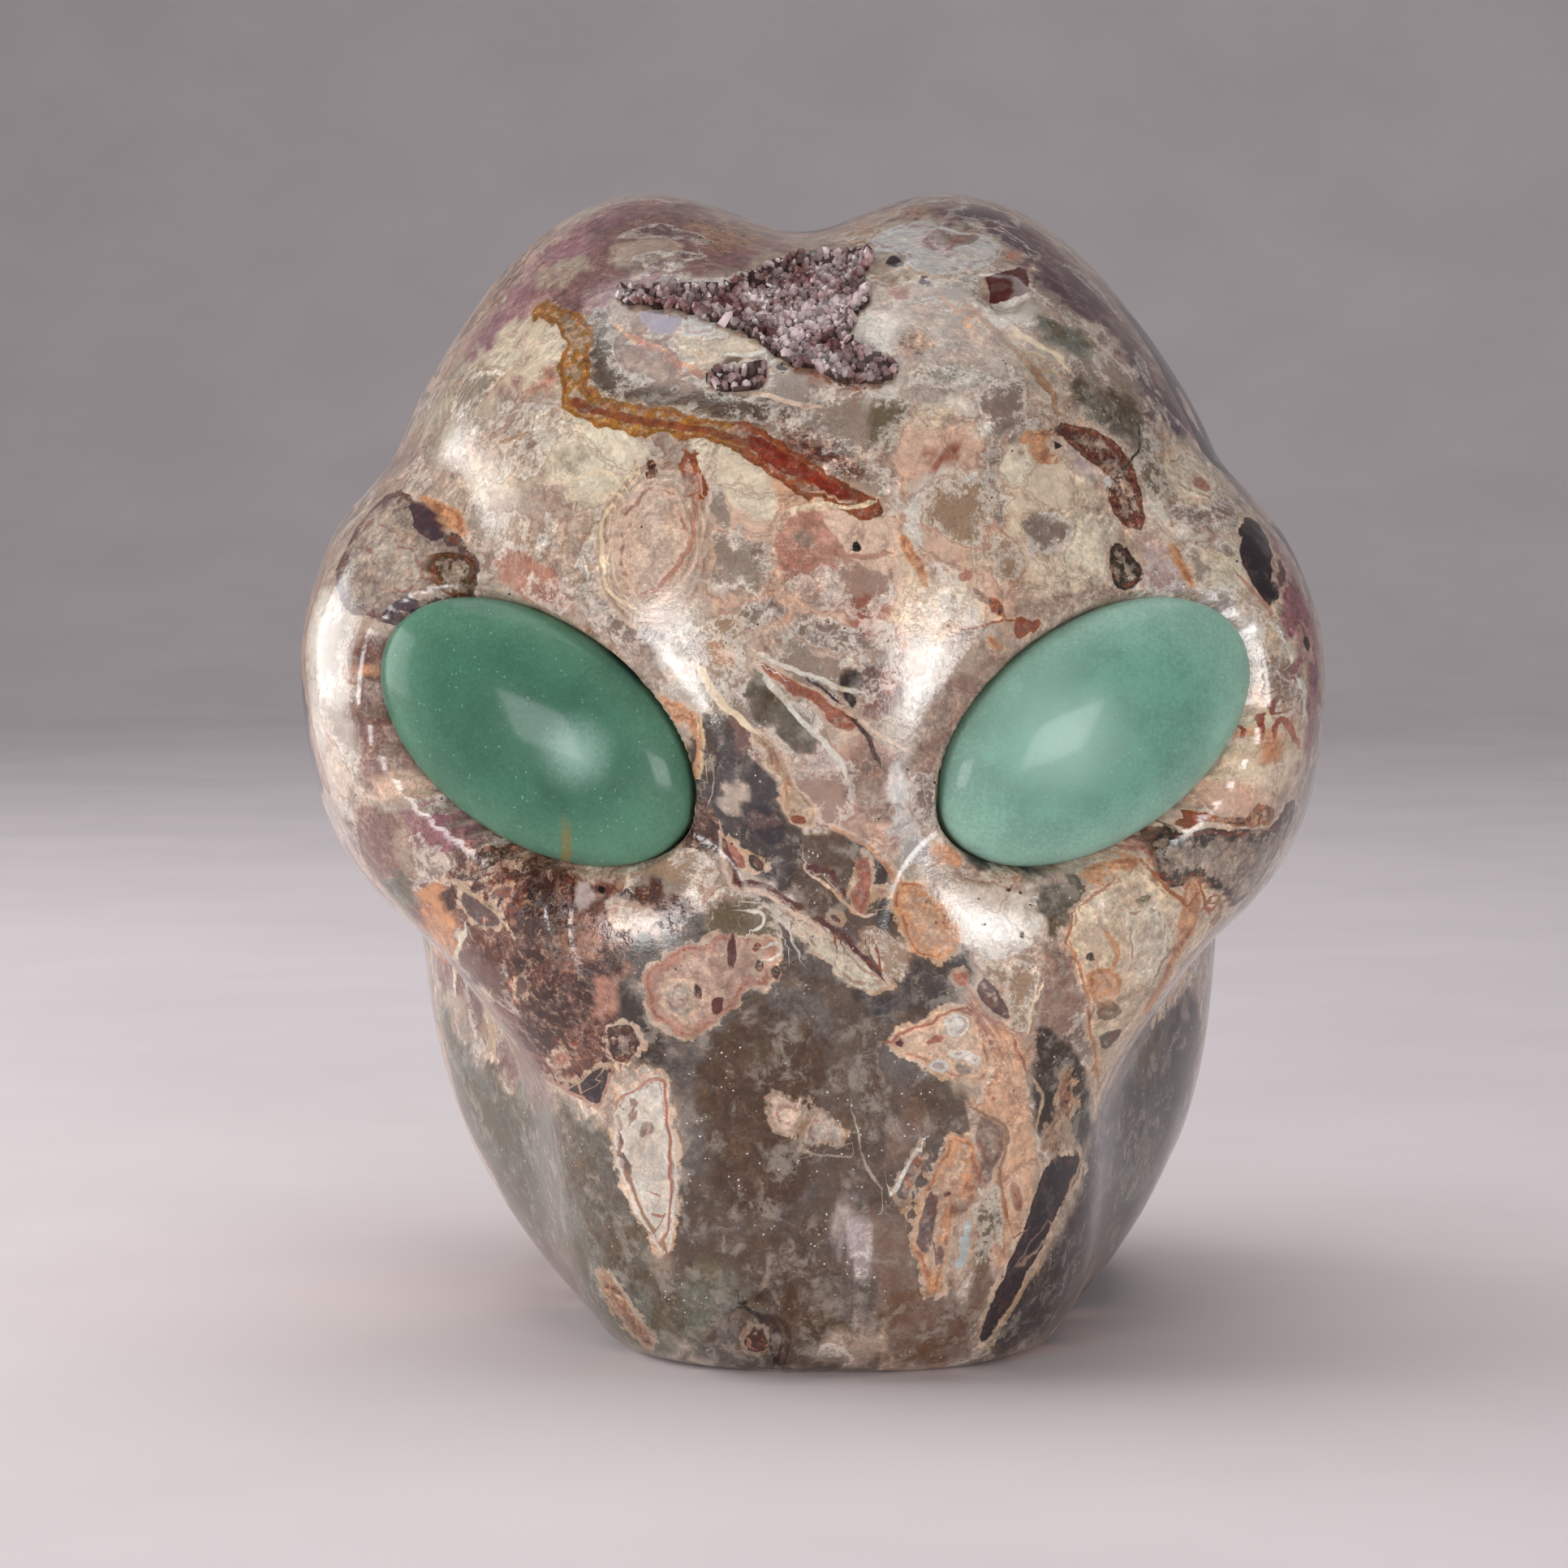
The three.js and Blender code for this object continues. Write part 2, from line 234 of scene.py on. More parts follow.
# Each look: mottling, dark flecks, white frost, banding, and how clear the stone is
LOOKS = {
    "chalky": (0.38, 0.20, 0.16, 0.30, 0.0),
    "cloudy": (0.50, 0.18, 0.40, 0.10, 0.2),
    "frosted": (0.30, 0.10, 0.60, 0.00, 0.0),
    "banded": (0.30, 0.10, 0.15, 0.90, 0.2),
    "streaked": (0.50, 0.20, 0.20, 0.60, 0.1),
    "glowing": (0.55, 0.20, 0.00, 0.70, 0.1),
    "smooth": (0.15, 0.10, 0.00, 0.00, 0.1),
    "speckled": (0.75, 0.90, 0.15, 0.00, 0.0),
    "clear": (0.55, 0.15, 0.05, 0.00, 1.0),
}


def oval(across, up, half_across, half_up, turn=0):
    """Outline of an ellipse, turned by an angle in degrees."""
    angle = np.arange(16) / 16 * 2 * math.pi
    c, s = math.cos(math.radians(turn)), math.sin(math.radians(turn))
    a, b = half_across * np.cos(angle), half_up * np.sin(angle)
    return np.stack([across + a * c - b * s, up + a * s + b * c], 1)


# Outlines and paths are text: pairs of across and up, in millimetres, on the face's chart.
# Soft grounds of the face, painted in this order: tint, softness, raggedness, outline
GROUNDS = [
    # forehead and temples
    ("grey cloud", 4, 2, "-40,30 -20,32 0,30 10,12 0,8 -8,8 -20,12 -36,8"),
    ("cream", 2.5, 2, "-28,28 -20,31 -12,29 -12,25 -16,19 -22,21 -26,24"),
    ("pink cream", 3, 2, "-8,22 4,25 12,30 20,28 22,16 12,11 2,11 -6,14"),
    ("crown mauve", 1.5, 1.5, "-30,30 -24,40 -18,46 -10,51 -3,50 2,47 0,44 -8,42 -15,40 -19,36 -24,29"),
    ("crown brown", 1, 1, "-18,44 -11,48 -5,48.5 -1,47 0,45 -6,44.4 -12,44.6"),
    ("brown tan", 0.8, 1, "-9,46 -5,46.4 -1,45 -3,43.6 -7,44.2"),
    ("crown brown", 1.5, 1.2, "-21,41 -16,44 -10,44.6 -5,43.4 -1.5,43.2 -5,41.6 -12,42 -16,40 -18,38"),
    ("pale olive", 1, 1, "-20,42 -16.5,43.4 -15.6,42.6 -18.6,40.8 -20,40"),
    ("grey cloud", 0.8, 0.8, "-14.6,44.4 -10,45.2 -8,43.4 -11,42.2 -14,42.6"),
    ("cream", 1, 1, "-24,37 -20,39.4 -17.6,38.4 -17.8,34 -19,32 -22,33 -25,33"),
    ("yellow cream", 0.6, 0.6, "-22,36.4 -20,37.6 -18.4,37.8 -17.9,36 -18.6,34 -20,34.6"),
    ("salmon", 0.7, 0.6, "-22,32.4 -20,33.8 -18.6,34.4 -18.4,33.2 -20,32"),
    ("pale olive", 1.5, 1.5, "-30,33 -26,36 -23,34 -22,31 -26,28 -30,27"),
    ("mauve", 0.8, 0.8, "-13.6,38 -12,40.6 -9,41.5 -5,41 -3,38 0,36 0,34 -5,32.6 -9,33.4 -13,34.6 -14,36"),
    ("grey band", 0.5, 0.5, "-16.2,38.8 -15,39.6 -13.8,38 -14,36 -13.2,34 -11,33.2 -8,32.8 -5,32.2 -2,31.8"
        " 1,31 0,29.6 -4,29.2 -8,30 -13,30.4 -16.2,31.4 -17,33.6 -16.4,36"),
    ("brown quartz", 0.4, 0.4, "-13.2,32.4 -9,32.6 -6,32 -6.5,31 -10,31.2 -13,31.4"),
    ("cream", 0.5, 0.7, "-9.4,37 -6,37.6 -3,37.4 -1,36.4 -1.4,35.4 -4,35 -6.6,34.2 -8.8,35"),
    ("deep orange", 0.5, 0.5, "0.2,35 2,35 5,34.4 8.6,33.5 7,32.4 6.4,31.4 4.4,32.4 2,33"),
    ("crown plum", 1.2, 1.2, "2,46.4 6,48.6 12,50 18,48.6 24,44 30,37 36,29 38,26 34,27 29,31 25,36 21,41"
        " 17.4,45 12,46.6 7,46.6"),
    ("tan", 0.8, 0.8, "1,45.6 4,46.8 7,47 8,45.6 6.6,44 3,45"),
    ("brown tan", 0.6, 0.7, "8,47.4 11,47.6 12.6,46.8 10,46.4"),
    ("grey cloud", 1.2, 1.2, "17,40 20,40.6 25,38.4 29,34 31,30 28,29 24,31 22,34 19,37"),
    ("green quartz", 0.9, 0.8, "19.6,38.8 23,38 26,36 25.4,34.8 22,36"),
    ("white", 0.8, 1, "16.8,38.6 19,40 21.6,39.6 20,38 18.6,37"),
    ("grey quartz", 1, 1, "23,33 26,33.6 29,31 30,28.4 28,28 25,30.4 23.6,31.6"),
    ("cream", 0.6, 1, "8,35 11,34.8 13,34.4 11,33.8 8.6,33.6"),
    ("grey cloud", 0.8, 0.8, "7,40 12,40.6 15,39 15.4,37 12,35 9,34.6 6.4,36"),
    ("white", 0.6, 0.9, "5,36.6 6.6,38.6 8.6,39.2 9.6,38.4 9,36.6 7.6,35.2 6.8,36"),
    ("brown tan", 0.8, 0.6, "9.4,36.8 11.6,37.6 12.4,36 11,34.8 9.6,35.4"),
    ("olive", 0.8, 0.7, "9,34 13,34.6 17,33.8 17,32.6 13,32.4 10.4,32.6"),
    ("olive", 0.7, 0.6, "6.8,29 7.4,31.4 9,32.6 10.6,31 10,29 8.4,27.6 7.2,27.8"),
    ("white", 0.5, 1, "6.6,31.4 7.8,32.8 9.4,32.8 9,31.6 7.8,31"),
    ("yellow cream", 0.6, 0.8, "10,31 12,31.6 14.6,31.2 14.4,30 12,29.4 10.6,29.6"),
    ("white", 0.5, 1.2, "13.4,31.4 15.6,32.2 16.4,30.2 17.8,28.2 16,28.2 14.6,29.6"),
    ("grey blob", 0.35, 0.6, "15.6,30.6 16,32 17.6,33.4 19.6,33.4 20.4,32 20,30.6 21.4,29.8 19.4,28.4"
        " 17.2,28.8 16.2,29.6"),
    ("pink cream", 0.8, 1, "9,29 12,29.6 15,28.6 15.6,26.4 12,25.8 9.6,26.6"),
    ("salmon red", 0.5, 0.9, "11.4,27.4 13.4,28 15,27.2 13,26 11,26"),
    ("grey blob", 0.9, 0.9, "16,28 18,27.6 18.4,24 17.6,20 16.6,22 16.8,25"),
    ("grey cloud", 1, 1, "3.4,29 6.4,28 9.6,26 9,23 6.6,24 4,26.4"),
    ("white", 0.5, 1, "9.6,22 10.2,24.6 12,26.2 15.4,26.4 16.6,25 13,25.4 11.6,23.6 11.4,20 10.2,19.4"),
    ("tan", 0.8, 0.8, "11.6,23 13,25 16,25.2 17,23 16.4,20.4 14,19.2 12,20.6"),
    ("tan", 1, 0.8, "17,20 19.6,21 19.6,17 17.6,15.8 16.8,18"),
    ("yellow cream", 0.6, 0.7, "15,19.4 17.4,19 17.8,18 16.2,17.6 15,18.2"),
    ("yellow cream", 1.2, 1.4, "18,27.4 22,27.4 26,23 26.6,18 24,15.6 20.4,15 19,19 17.8,23"),
    ("grey blob", 0.8, 0.8, "19.6,21.6 21.6,23 23.6,22 23.8,20 22,19 20,18.8"),
    ("pale lavender", 0.6, 0.9, "22.2,28.6 24,28.6 26,27 26.8,24.8 25.4,24.2 23.4,26"),
    ("mauve", 0.4, 0.5, "21.6,25.2 23.4,25 23,24.4 21.8,24.6"),
    ("pale lavender", 0.8, 1, "28.6,20 30.4,20 32,18.4 33.4,16.4 33,15 30,15.4 29.6,18"),
    ("white", 0.8, 1.2, "28.8,24.4 30.6,24.6 32,22 33.6,21 36,20.8 36,19.6 32,20 29.4,21"),
    ("olive", 1, 0.9, "28.4,28 30.6,28.6 31.4,25 32,22.8 30.4,24 29.4,25.4"),
    ("cream", 1, 1, "30.4,28.6 33,28.8 38,24.6 39,22 37.4,20.8 34,22 32,24"),
    ("grey blob", 0.6, 0.6, "31.6,23.6 34,22.8 37.6,24 37.6,21.8 35,20.8 32,21.6"),
    ("cream", 1.2, 1.5, "33,19.6 37,19.6 39,16 41.6,12 43,6 43,0 38,-3 33,-1 34,4 37,9 36,13"),
    ("crown mauve", 1.2, 1.4, "40,22 44,18 45.6,10 45.6,2 43.4,-2 43,4 42.4,9 41,13 40.4,18"),
    ("cool white", 0.8, 1.2, "34.4,16.4 36.4,16.8 38.6,14.4 40.6,12.4 40,11.2 37.6,11.6 36.8,13.6"),
    ("grey blob", 0.6, 0.9, "35.2,15.4 36.8,15.6 37,14 36,13.8"),
    ("mauve", 0.6, 0.7, "37.8,11 40.4,11 42,9 42.8,6 41.6,7 40,9 38,10"),
    ("pink cream", 0.6, 0.8, "37.4,9.4 40,9 41.6,6.6 42.6,3 41.4,4 39.8,7 37.6,7.8"),
    ("yellow cream", 0.8, 1, "35.6,3.6 38.4,4.2 38.6,2 41.6,2.4 42.4,0 39,-0.6 34.6,0.4 33.6,1.6"),
    ("orange", 0.7, 0.7, "36.6,4.8 38.6,4.4 41,4.4 41.2,2.6 40,1.4 39,2.4 38.8,3.4"),
    ("pink cream", 0.8, 0.8, "32.6,0.6 36,1 40,-0.4 40,-2.6 36,-2.6 32.4,-1.6"),
    # left forehead
    ("yellow cream", 1, 1, "-20,29 -14,30 -11.4,28.4 -11.8,25.6 -15,24.8 -20,25"),
    ("grey cloud", 0.8, 0.8, "-27,29 -23,30.8 -19.6,29.4 -21,27 -25,26"),
    ("pale olive", 0.8, 1, "-22,27 -17,28 -15,26 -18,25.4 -22,24.6"),
    ("tan", 0.7, 0.7, "-24,28.4 -21,29 -21.4,27.4 -23,27.2"),
    ("grey cloud", 1, 1, "-25,24 -17,25 -15.8,19 -18,16 -25,19.6"),
    ("tan", 0.8, 0.9, "-23,22 -21,22 -20.4,18.6 -24,17.8"),
    ("salmon", 0.8, 1, "-25,18.6 -21,19.4 -18,16.4 -17,13.4 -22,15.2"),
    ("mauve", 0.6, 0.8, "-11.4,28.6 -10,29 -9,27 -9.6,25 -11.4,25.2"),
    ("yellow cream", 0.8, 0.9, "-8.6,29 -4.6,28.6 -2.4,27 -0.4,25 -0.8,22.4 -3,21 -5,24 -7,26.4"),
    ("peach", 0.8, 0.9, "-1.6,25.6 1,25 3,23.4 2,22 -0.6,21.2"),
    ("red brown", 0.8, 0.8, "-1,30 2,29 6,27 7.4,25 4,25.4 0.8,27.4"),
    ("pink cream", 0.8, 0.9, "3,24 7,23.6 9.4,22 9,19 5,18.6 2.6,21"),
    ("grey cloud", 1, 1, "-7,21 -3,20.6 -1,18 -2,15.6 -6.6,15.2"),
    ("salmon", 0.8, 0.8, "0.4,22.6 2.6,22.8 4,20.4 4.8,18.2 2,16.4 -0.6,18 -0.6,21"),
    ("mauve", 0.5, 0.5, oval(1.8, 20.1, 1.1, 0.7, -30)),
    ("mauve", 0.6, 0.6, oval(-1.8, 19.1, 0.8, 0.6)),
    ("pink cloud", 0.8, 0.8, "0,17.4 4,18 9,18 9.6,15 4,14.4 0,15.2"),
    ("salmon red", 1, 0.8, oval(7.0, 14.0, 2.0, 1.5, 20)),
    ("grey blob", 0.8, 0.8, "-4,15 -1,15.4 0,13.6 -2,12.8 -4.4,13.4"),
    ("grey blob", 1, 0.9, "1,14 5,13 8,11.6 6,10.8 2,11.6 0.2,12.4"),
    ("pale olive", 0.8, 0.8, "-9,15 -6.4,14.6 -5.6,12.6 -8,12.4"),
    ("tan", 0.9, 0.8, "-6.2,13 -3.6,14.6 -3,12 -4.6,9 -7,8 -7.2,10.4"),
    ("orange", 0.8, 0.8, oval(-5.2, 10.9, 1.3, 0.8, -20)),
    ("grey blob", 0.8, 0.8, "-14,14.6 -9,14.6 -8.6,12.2 -12,11 -15.4,13"),
    ("warm cream", 1, 1, "10.4,18 12.4,17 15,17.4 17,15 18,13.4 15,12.6 12,11 9,12.6 9.4,15.4"),
    ("yellow cream", 0.6, 0.6, "12.6,15.6 15.4,16 16.6,14.4 15,13.4 12.8,13.8"),
    ("white", 0.7, 0.8, "14.6,14.6 17,14.4 16.4,13 14.6,12.6"),
    # round the eyes
    ("brown tan", 0.8, 0.9, "-19.6,14.4 -14,11 -10,7 -8,3 -7.4,-1 -9,0 -14,8 -20,12"),
    ("dark brown", 0.5, 0.6, "-18.6,13.8 -14.6,10.8 -11,7.2 -12.4,7.4 -16,10.8 -19.4,13"),
    ("mauve", 0.8, 0.9, "13,9 17,11 19,10.6 15,6 12.6,2 12,-3 10.6,-2 10.8,3"),
    ("grey blob", 0.8, 0.8, "10.4,1 12.6,1.6 13.2,-3 11.4,-4.4 10.4,-2"),
    ("grey cloud", 0.8, 0.9, "13.2,12 16,12 17.6,10.6 14.4,8.6 12.8,9.6"),
    # partly pale stone and partly painted highlights: the white either side of the nose lies where the front
    # lamps shine back
    ("white", 0.9, 0.7, "10.4,11.6 13.6,12 12,8 10.4,4.6 9.4,6 9.6,9"),
    ("white", 0.9, 0.9, "-10.6,12 -8.6,10.8 -6,7 -6,5 -8,6 -9.6,9"),
    ("mauve brown", 1, 1, "-36,12 -33,12.6 -33.6,8 -31,3 -29,0 -31,-2 -35,0 -36,5"),
    ("orange", 0.5, 0.6, "-34.8,10 -34,9.6 -33.4,6.4 -34.4,7"),
    ("pink cream", 0.7, 0.8, "-34,1 -31.6,1.6 -29.4,0.6 -28,-1.4 -31,-1 -34.4,-1.8"),
    # partly cream stone and partly painted reflection of the left window lamp along the temple
    ("white", 1, 1, "-40.4,15 -37.6,17 -36,12 -35.6,4 -35.2,-2 -36.6,-8 -40,-2 -41.4,6"),
    ("mauve brown", 0.8, 0.9, "-35.4,-2 -32.6,-1.4 -31.4,-4 -33.6,-6.4 -35.6,-5"),
    ("crown mauve", 0.6, 0.9, "-31.6,-1.4 -28,-2.4 -24.6,-3.6 -26,-6 -29,-5.6 -32,-3"),
    ("salmon", 0.6, 0.6, "-34,-5 -32.6,-5 -32.8,-7.4 -34,-6.6"),
    # left cheek and jaw
    ("mauve brown", 1, 1, "-37,-6 -33,-9 -28,-16 -22,-25 -20,-27 -19,-25 -21.6,-18 -24,-13 -27,-9 -31,-6.6"
        " -34,-4"),
    ("green quartz", 0.8, 0.9, "-33,-7.6 -30.6,-7 -30.4,-10.4 -31.6,-12 -33.4,-9.4"),
    ("orange", 0.7, 0.8, "-29.8,-8 -27.2,-8.4 -26.4,-12 -26.6,-15 -28.4,-14 -30,-11"),
    ("tan", 0.5, 0.7, "-25,-16 -23,-18.4 -23.6,-22 -25.4,-20"),
    ("red brown", 0.5, 1, "-28,-6 -24,-4.6 -20,-6 -17,-7.4 -12,-8 -9,-9.6 -7,-10 -6.4,-14 -11,-15"
        " -12.4,-17.6 -13.2,-20 -12,-22 -14,-23.4 -17,-24.6 -20,-24 -21.6,-21 -21.8,-18 -23.4,-15"
        " -26,-12.4"),
    ("dark brown", 0.5, 1, "-21.6,-6.6 -19,-7 -19,-10 -18,-12 -19.4,-15 -22,-16 -23,-13 -21,-11"),
    ("dark brown", 0.5, 0.9, "-21.6,-17 -18,-16 -15,-15 -14,-12.6 -13.4,-15 -15,-18 -17,-20 -20,-22.6"
        " -21.6,-20.6"),
    ("dark brown", 0.4, 0.8, "-27.6,-8 -26.6,-8.4 -26.6,-10.8 -27.8,-10"),
    ("mass brown", 0.6, 0.9, "-17.8,-11 -15,-11.4 -14.8,-14 -17,-15.6 -18.4,-13"),
    ("pink cream", 0.6, 1, "-15,-9.6 -12,-9.4 -9.6,-10.4 -10.4,-12.4 -14,-12.4"),
    ("salmon", 0.4, 0.8, "-14.4,-15.6 -12.4,-16.4 -13,-18.4 -15.4,-19.4 -15.6,-17.4"),
    ("dark quartz", 0.5, 0.8, "-14,-13.4 -11,-12 -10.4,-14 -12.4,-15.4"),
    ("pale lavender", 0.5, 0.8, "-17.4,-7.6 -15.6,-8 -15,-10 -17,-10.4"),
    ("green quartz", 2, 1.5, "-30,-16 -27,-20 -22,-26 -17,-26.6 -13.4,-29 -12,-36 -9,-41 -9,-48 -20,-46"
        " -28,-34 -31,-22"),
    ("grey quartz", 1.5, 1.2, "-20,-28 -15,-27 -13.6,-32 -10.8,-38.6 -9,-42 -13,-42 -17,-36"),
    # nose, muzzle and chin
    ("smoky quartz", 1.2, 1.2, "-14,-16 -11,-14 -6,-10 0,-9 10,-10 14,-16 14,-24 16,-30 14,-38 10,-49"
        " -9,-49 -10,-40 -8.4,-30 -9,-24 -13,-22"),
    ("brown quartz", 1.5, 1.5, "-6,-20 0,-18 4,-21 3,-26 1.6,-33 -3,-36 -6,-32 -7,-25"),
    ("quartz", 1.2, 1.2, "3,-23 9,-23 14,-27 12,-30 8,-35 3,-35 2,-29"),
    ("quartz", 1.5, 1.2, "-4,-36 4,-35 6,-40 4,-48 -2,-48 -4,-42"),
    ("brown quartz", 1, 1, "-3,-31 -1,-29.6 0.6,-31 -0.6,-33.4 -3,-34"),
    ("green quartz", 1.2, 1.2, "-9,-41 -6.6,-38.6 -4,-40 -4.6,-44 -9,-46.6"),
    ("brown quartz", 0.8, 0.8, "-0.6,-41 1.6,-40.6 1.4,-42.6 -0.4,-43.4"),
    ("pale lavender", 1.5, 1.5, oval(6.2, -37.8, 1.8, 2.8, 15)),
    ("grey cloud", 1.5, 1, oval(5.8, -46, 3, 1.6, 12)),
    ("grey cloud", 0.8, 1.4, oval(-1.8, -41.3, 0.8, 0.7)),
    ("pink quartz", 1, 0.9, "7,-35.4 10,-35.6 10.6,-39 11.8,-42.4 14,-42 16.4,-40 18,-38 15.6,-47 9,-48.6"
        " 7.6,-42"),
    ("pink quartz", 1, 0.8, "8,-30 12,-30 12.6,-27 10,-26.4"),
    ("dark quartz", 0.6, 0.8, "-13.6,-17 -12,-16 -11.6,-19 -9.6,-21.4 -11,-23.6 -13,-22.8 -13,-19.6"),
    ("violet quartz", 0.8, 0.8, "-8,4.4 -5.4,5.8 -3,3.4 -1,1 -0.4,-1.4 0.6,-3.6 2,-5.4 1.4,-8.4 -0.8,-8.4"
        " -3,-6 -5,-4.6 -6.6,-7 -8.4,-5 -8,0"),
    ("dark violet", 0.7, 0.6, "-3.6,-2.4 -1,-1.4 0,-3.4 0,-5 -2,-4.6"),
    ("dark brown", 0.7, 0.7, "-7.4,-1 -5.6,-1 -5,-4 -6,-7 -8.4,-5.6 -8,-3"),
    ("grey cloud", 0.8, 0.9, "-5,1 -3,0.6 -3,-2 -5,-2"),
    ("tan", 0.6, 0.9, "-8,-5 -5.4,-5.4 -6,-8 -10,-8 -15,-7.6 -12,-6.6"),
    ("grey cloud", 0.6, 0.8, "-7,9 -5,8.4 -3,5.4 -4.6,5.4 -7,7.4"),
    ("grey quartz", 0.6, 0.7, "-3,9.6 -1.8,9.2 1.6,5.4 4.4,1.6 3,1.8 0,3.4 -2,5.6 -3.4,7.6"),
    ("mauve brown", 0.5, 0.7, "-4.6,6.2 -3.4,6 -1.4,2.4 -3,2.4 -4.6,4.6"),
    ("pink cloud", 0.7, 0.8, "0,3 3,2.8 6,4 9,3 10.4,1 10,-6 7.6,-5.4 5,-3.6 2,-3.4 0.6,-1"),
    ("mauve", 0.6, 0.8, "4.6,3 7,3.4 9,1 8.4,-3.6 6,-3 4.8,0"),
    # partly pale stone and partly painted highlight, the sheen running down beside the right eye
    ("cool white", 0.9, 0.9, "8,1.6 10.2,2 10.4,-3 12,-7 9.6,-6 8.4,-2"),
    ("mauve brown", 0.7, 0.7, "5.4,10 9,10.2 9.6,7 8,4.6 5.4,6.6 4.4,8.6"),
    ("salmon red", 0.6, 0.7, oval(8.6, 9.0, 1.0, 0.9)),
    ("violet quartz", 0.5, 0.6, "4.6,9.2 6.6,9.6 6.4,7 5.2,6.6"),
    ("quartz", 0.6, 0.7, "1.4,-3.8 4.4,-4 7,-5.4 8.8,-7 9,-9.6 8.4,-12.6 6,-11 3,-10.6 0.6,-8.8"),
    ("violet quartz", 0.5, 0.5, "7,-5.8 8.6,-7 8.6,-9 8.8,-12 7.4,-11.4 7.6,-9"),
    ("grey cloud", 0.6, 0.7, "-0.6,-9.6 1.6,-10.6 4,-12 3,-13 0.4,-12 -1.4,-10.6"),
    ("olive", 0.6, 0.8, "-6.4,-10 -3,-9 -0.6,-10.4 0,-14 -1,-16.4 -4,-18 -6,-15"),
    ("tan", 0.7, 0.9, "5.6,-12 9.6,-11.6 10.4,-15 9.6,-16.6 7.6,-15"),
    ("violet quartz", 0.6, 0.8, "9.6,-15 12,-14.4 15,-12.4 15.6,-15 14,-19 11,-19 10,-17"),
    ("violet quartz", 0.5, 0.6, "5,-16.4 9,-17 10,-18.6 8,-19.4 6,-18.4"),
    ("orange", 0.5, 0.7, "11,-5.4 13.6,-4.4 14.6,-6.6 12.6,-7"),
    # partly pale stone and partly painted highlight on the shelf under the right eye
    ("white", 1, 0.8, "12,-8 16,-8.4 20,-8.4 21.6,-10 20.4,-13.6 17,-14.4 14.6,-13"),
    ("tan", 0.5, 0.6, "14.6,-6.4 19.6,-7.2 19.4,-8 14.6,-7.8"),
    ("violet quartz", 0.5, 0.6, "14.4,-4.8 17,-5.8 22,-6.2 21.6,-7.4 19,-7.2 15,-6.4"),
    ("grey quartz", 0.7, 0.8, "20.6,-8.4 24,-7.4 26.8,-7.8 26.4,-9.4 24,-10.4 23,-13 21.6,-12"),
    ("mauve", 0.6, 0.5, "21.6,-12.4 23.6,-13.6 24.8,-17 25,-21 23,-21.6 20.6,-20 21.2,-16"),
    ("dark quartz", 0.6, 0.5, "20.4,-20 22.4,-20 24.6,-22.6 25,-28 24.8,-30.4 21,-30 20.6,-25"),
    ("tan", 0.6, 0.7, "15.4,-13.6 19,-14.4 21.4,-15 20.6,-19 19.6,-20.6 17,-19.6 18.4,-17 16.4,-15"),
    ("peach", 0.6, 0.8, "16,-19 17.6,-20 19.8,-20.6 20.2,-24 20.6,-28 20.8,-31 20,-34.6 18.2,-38.6 17,-41"
        " 16,-36 17,-33 17.8,-30.4 18,-28.6 16.8,-27 15.6,-26.6 17,-24.4"),
    ("olive", 0.5, 0.9, "15.6,-32.6 17.4,-33 17.8,-36 17,-39.6 15.6,-39 16,-36"),
    ("violet quartz", 1, 0.5, "25.4,-28 28,-23 32,-18 34,-16 34.6,-24 30,-34 24,-44 16.6,-47.6 17,-45"
        " 22.6,-37 24.6,-32"),
    ("green quartz", 1, 1, "30,-28 31,-30 28,-36 27.6,-33"),
    ("grey quartz", 1, 1, "28.4,-20 30.6,-18 32.4,-18.6 30,-25 28.6,-25"),
]

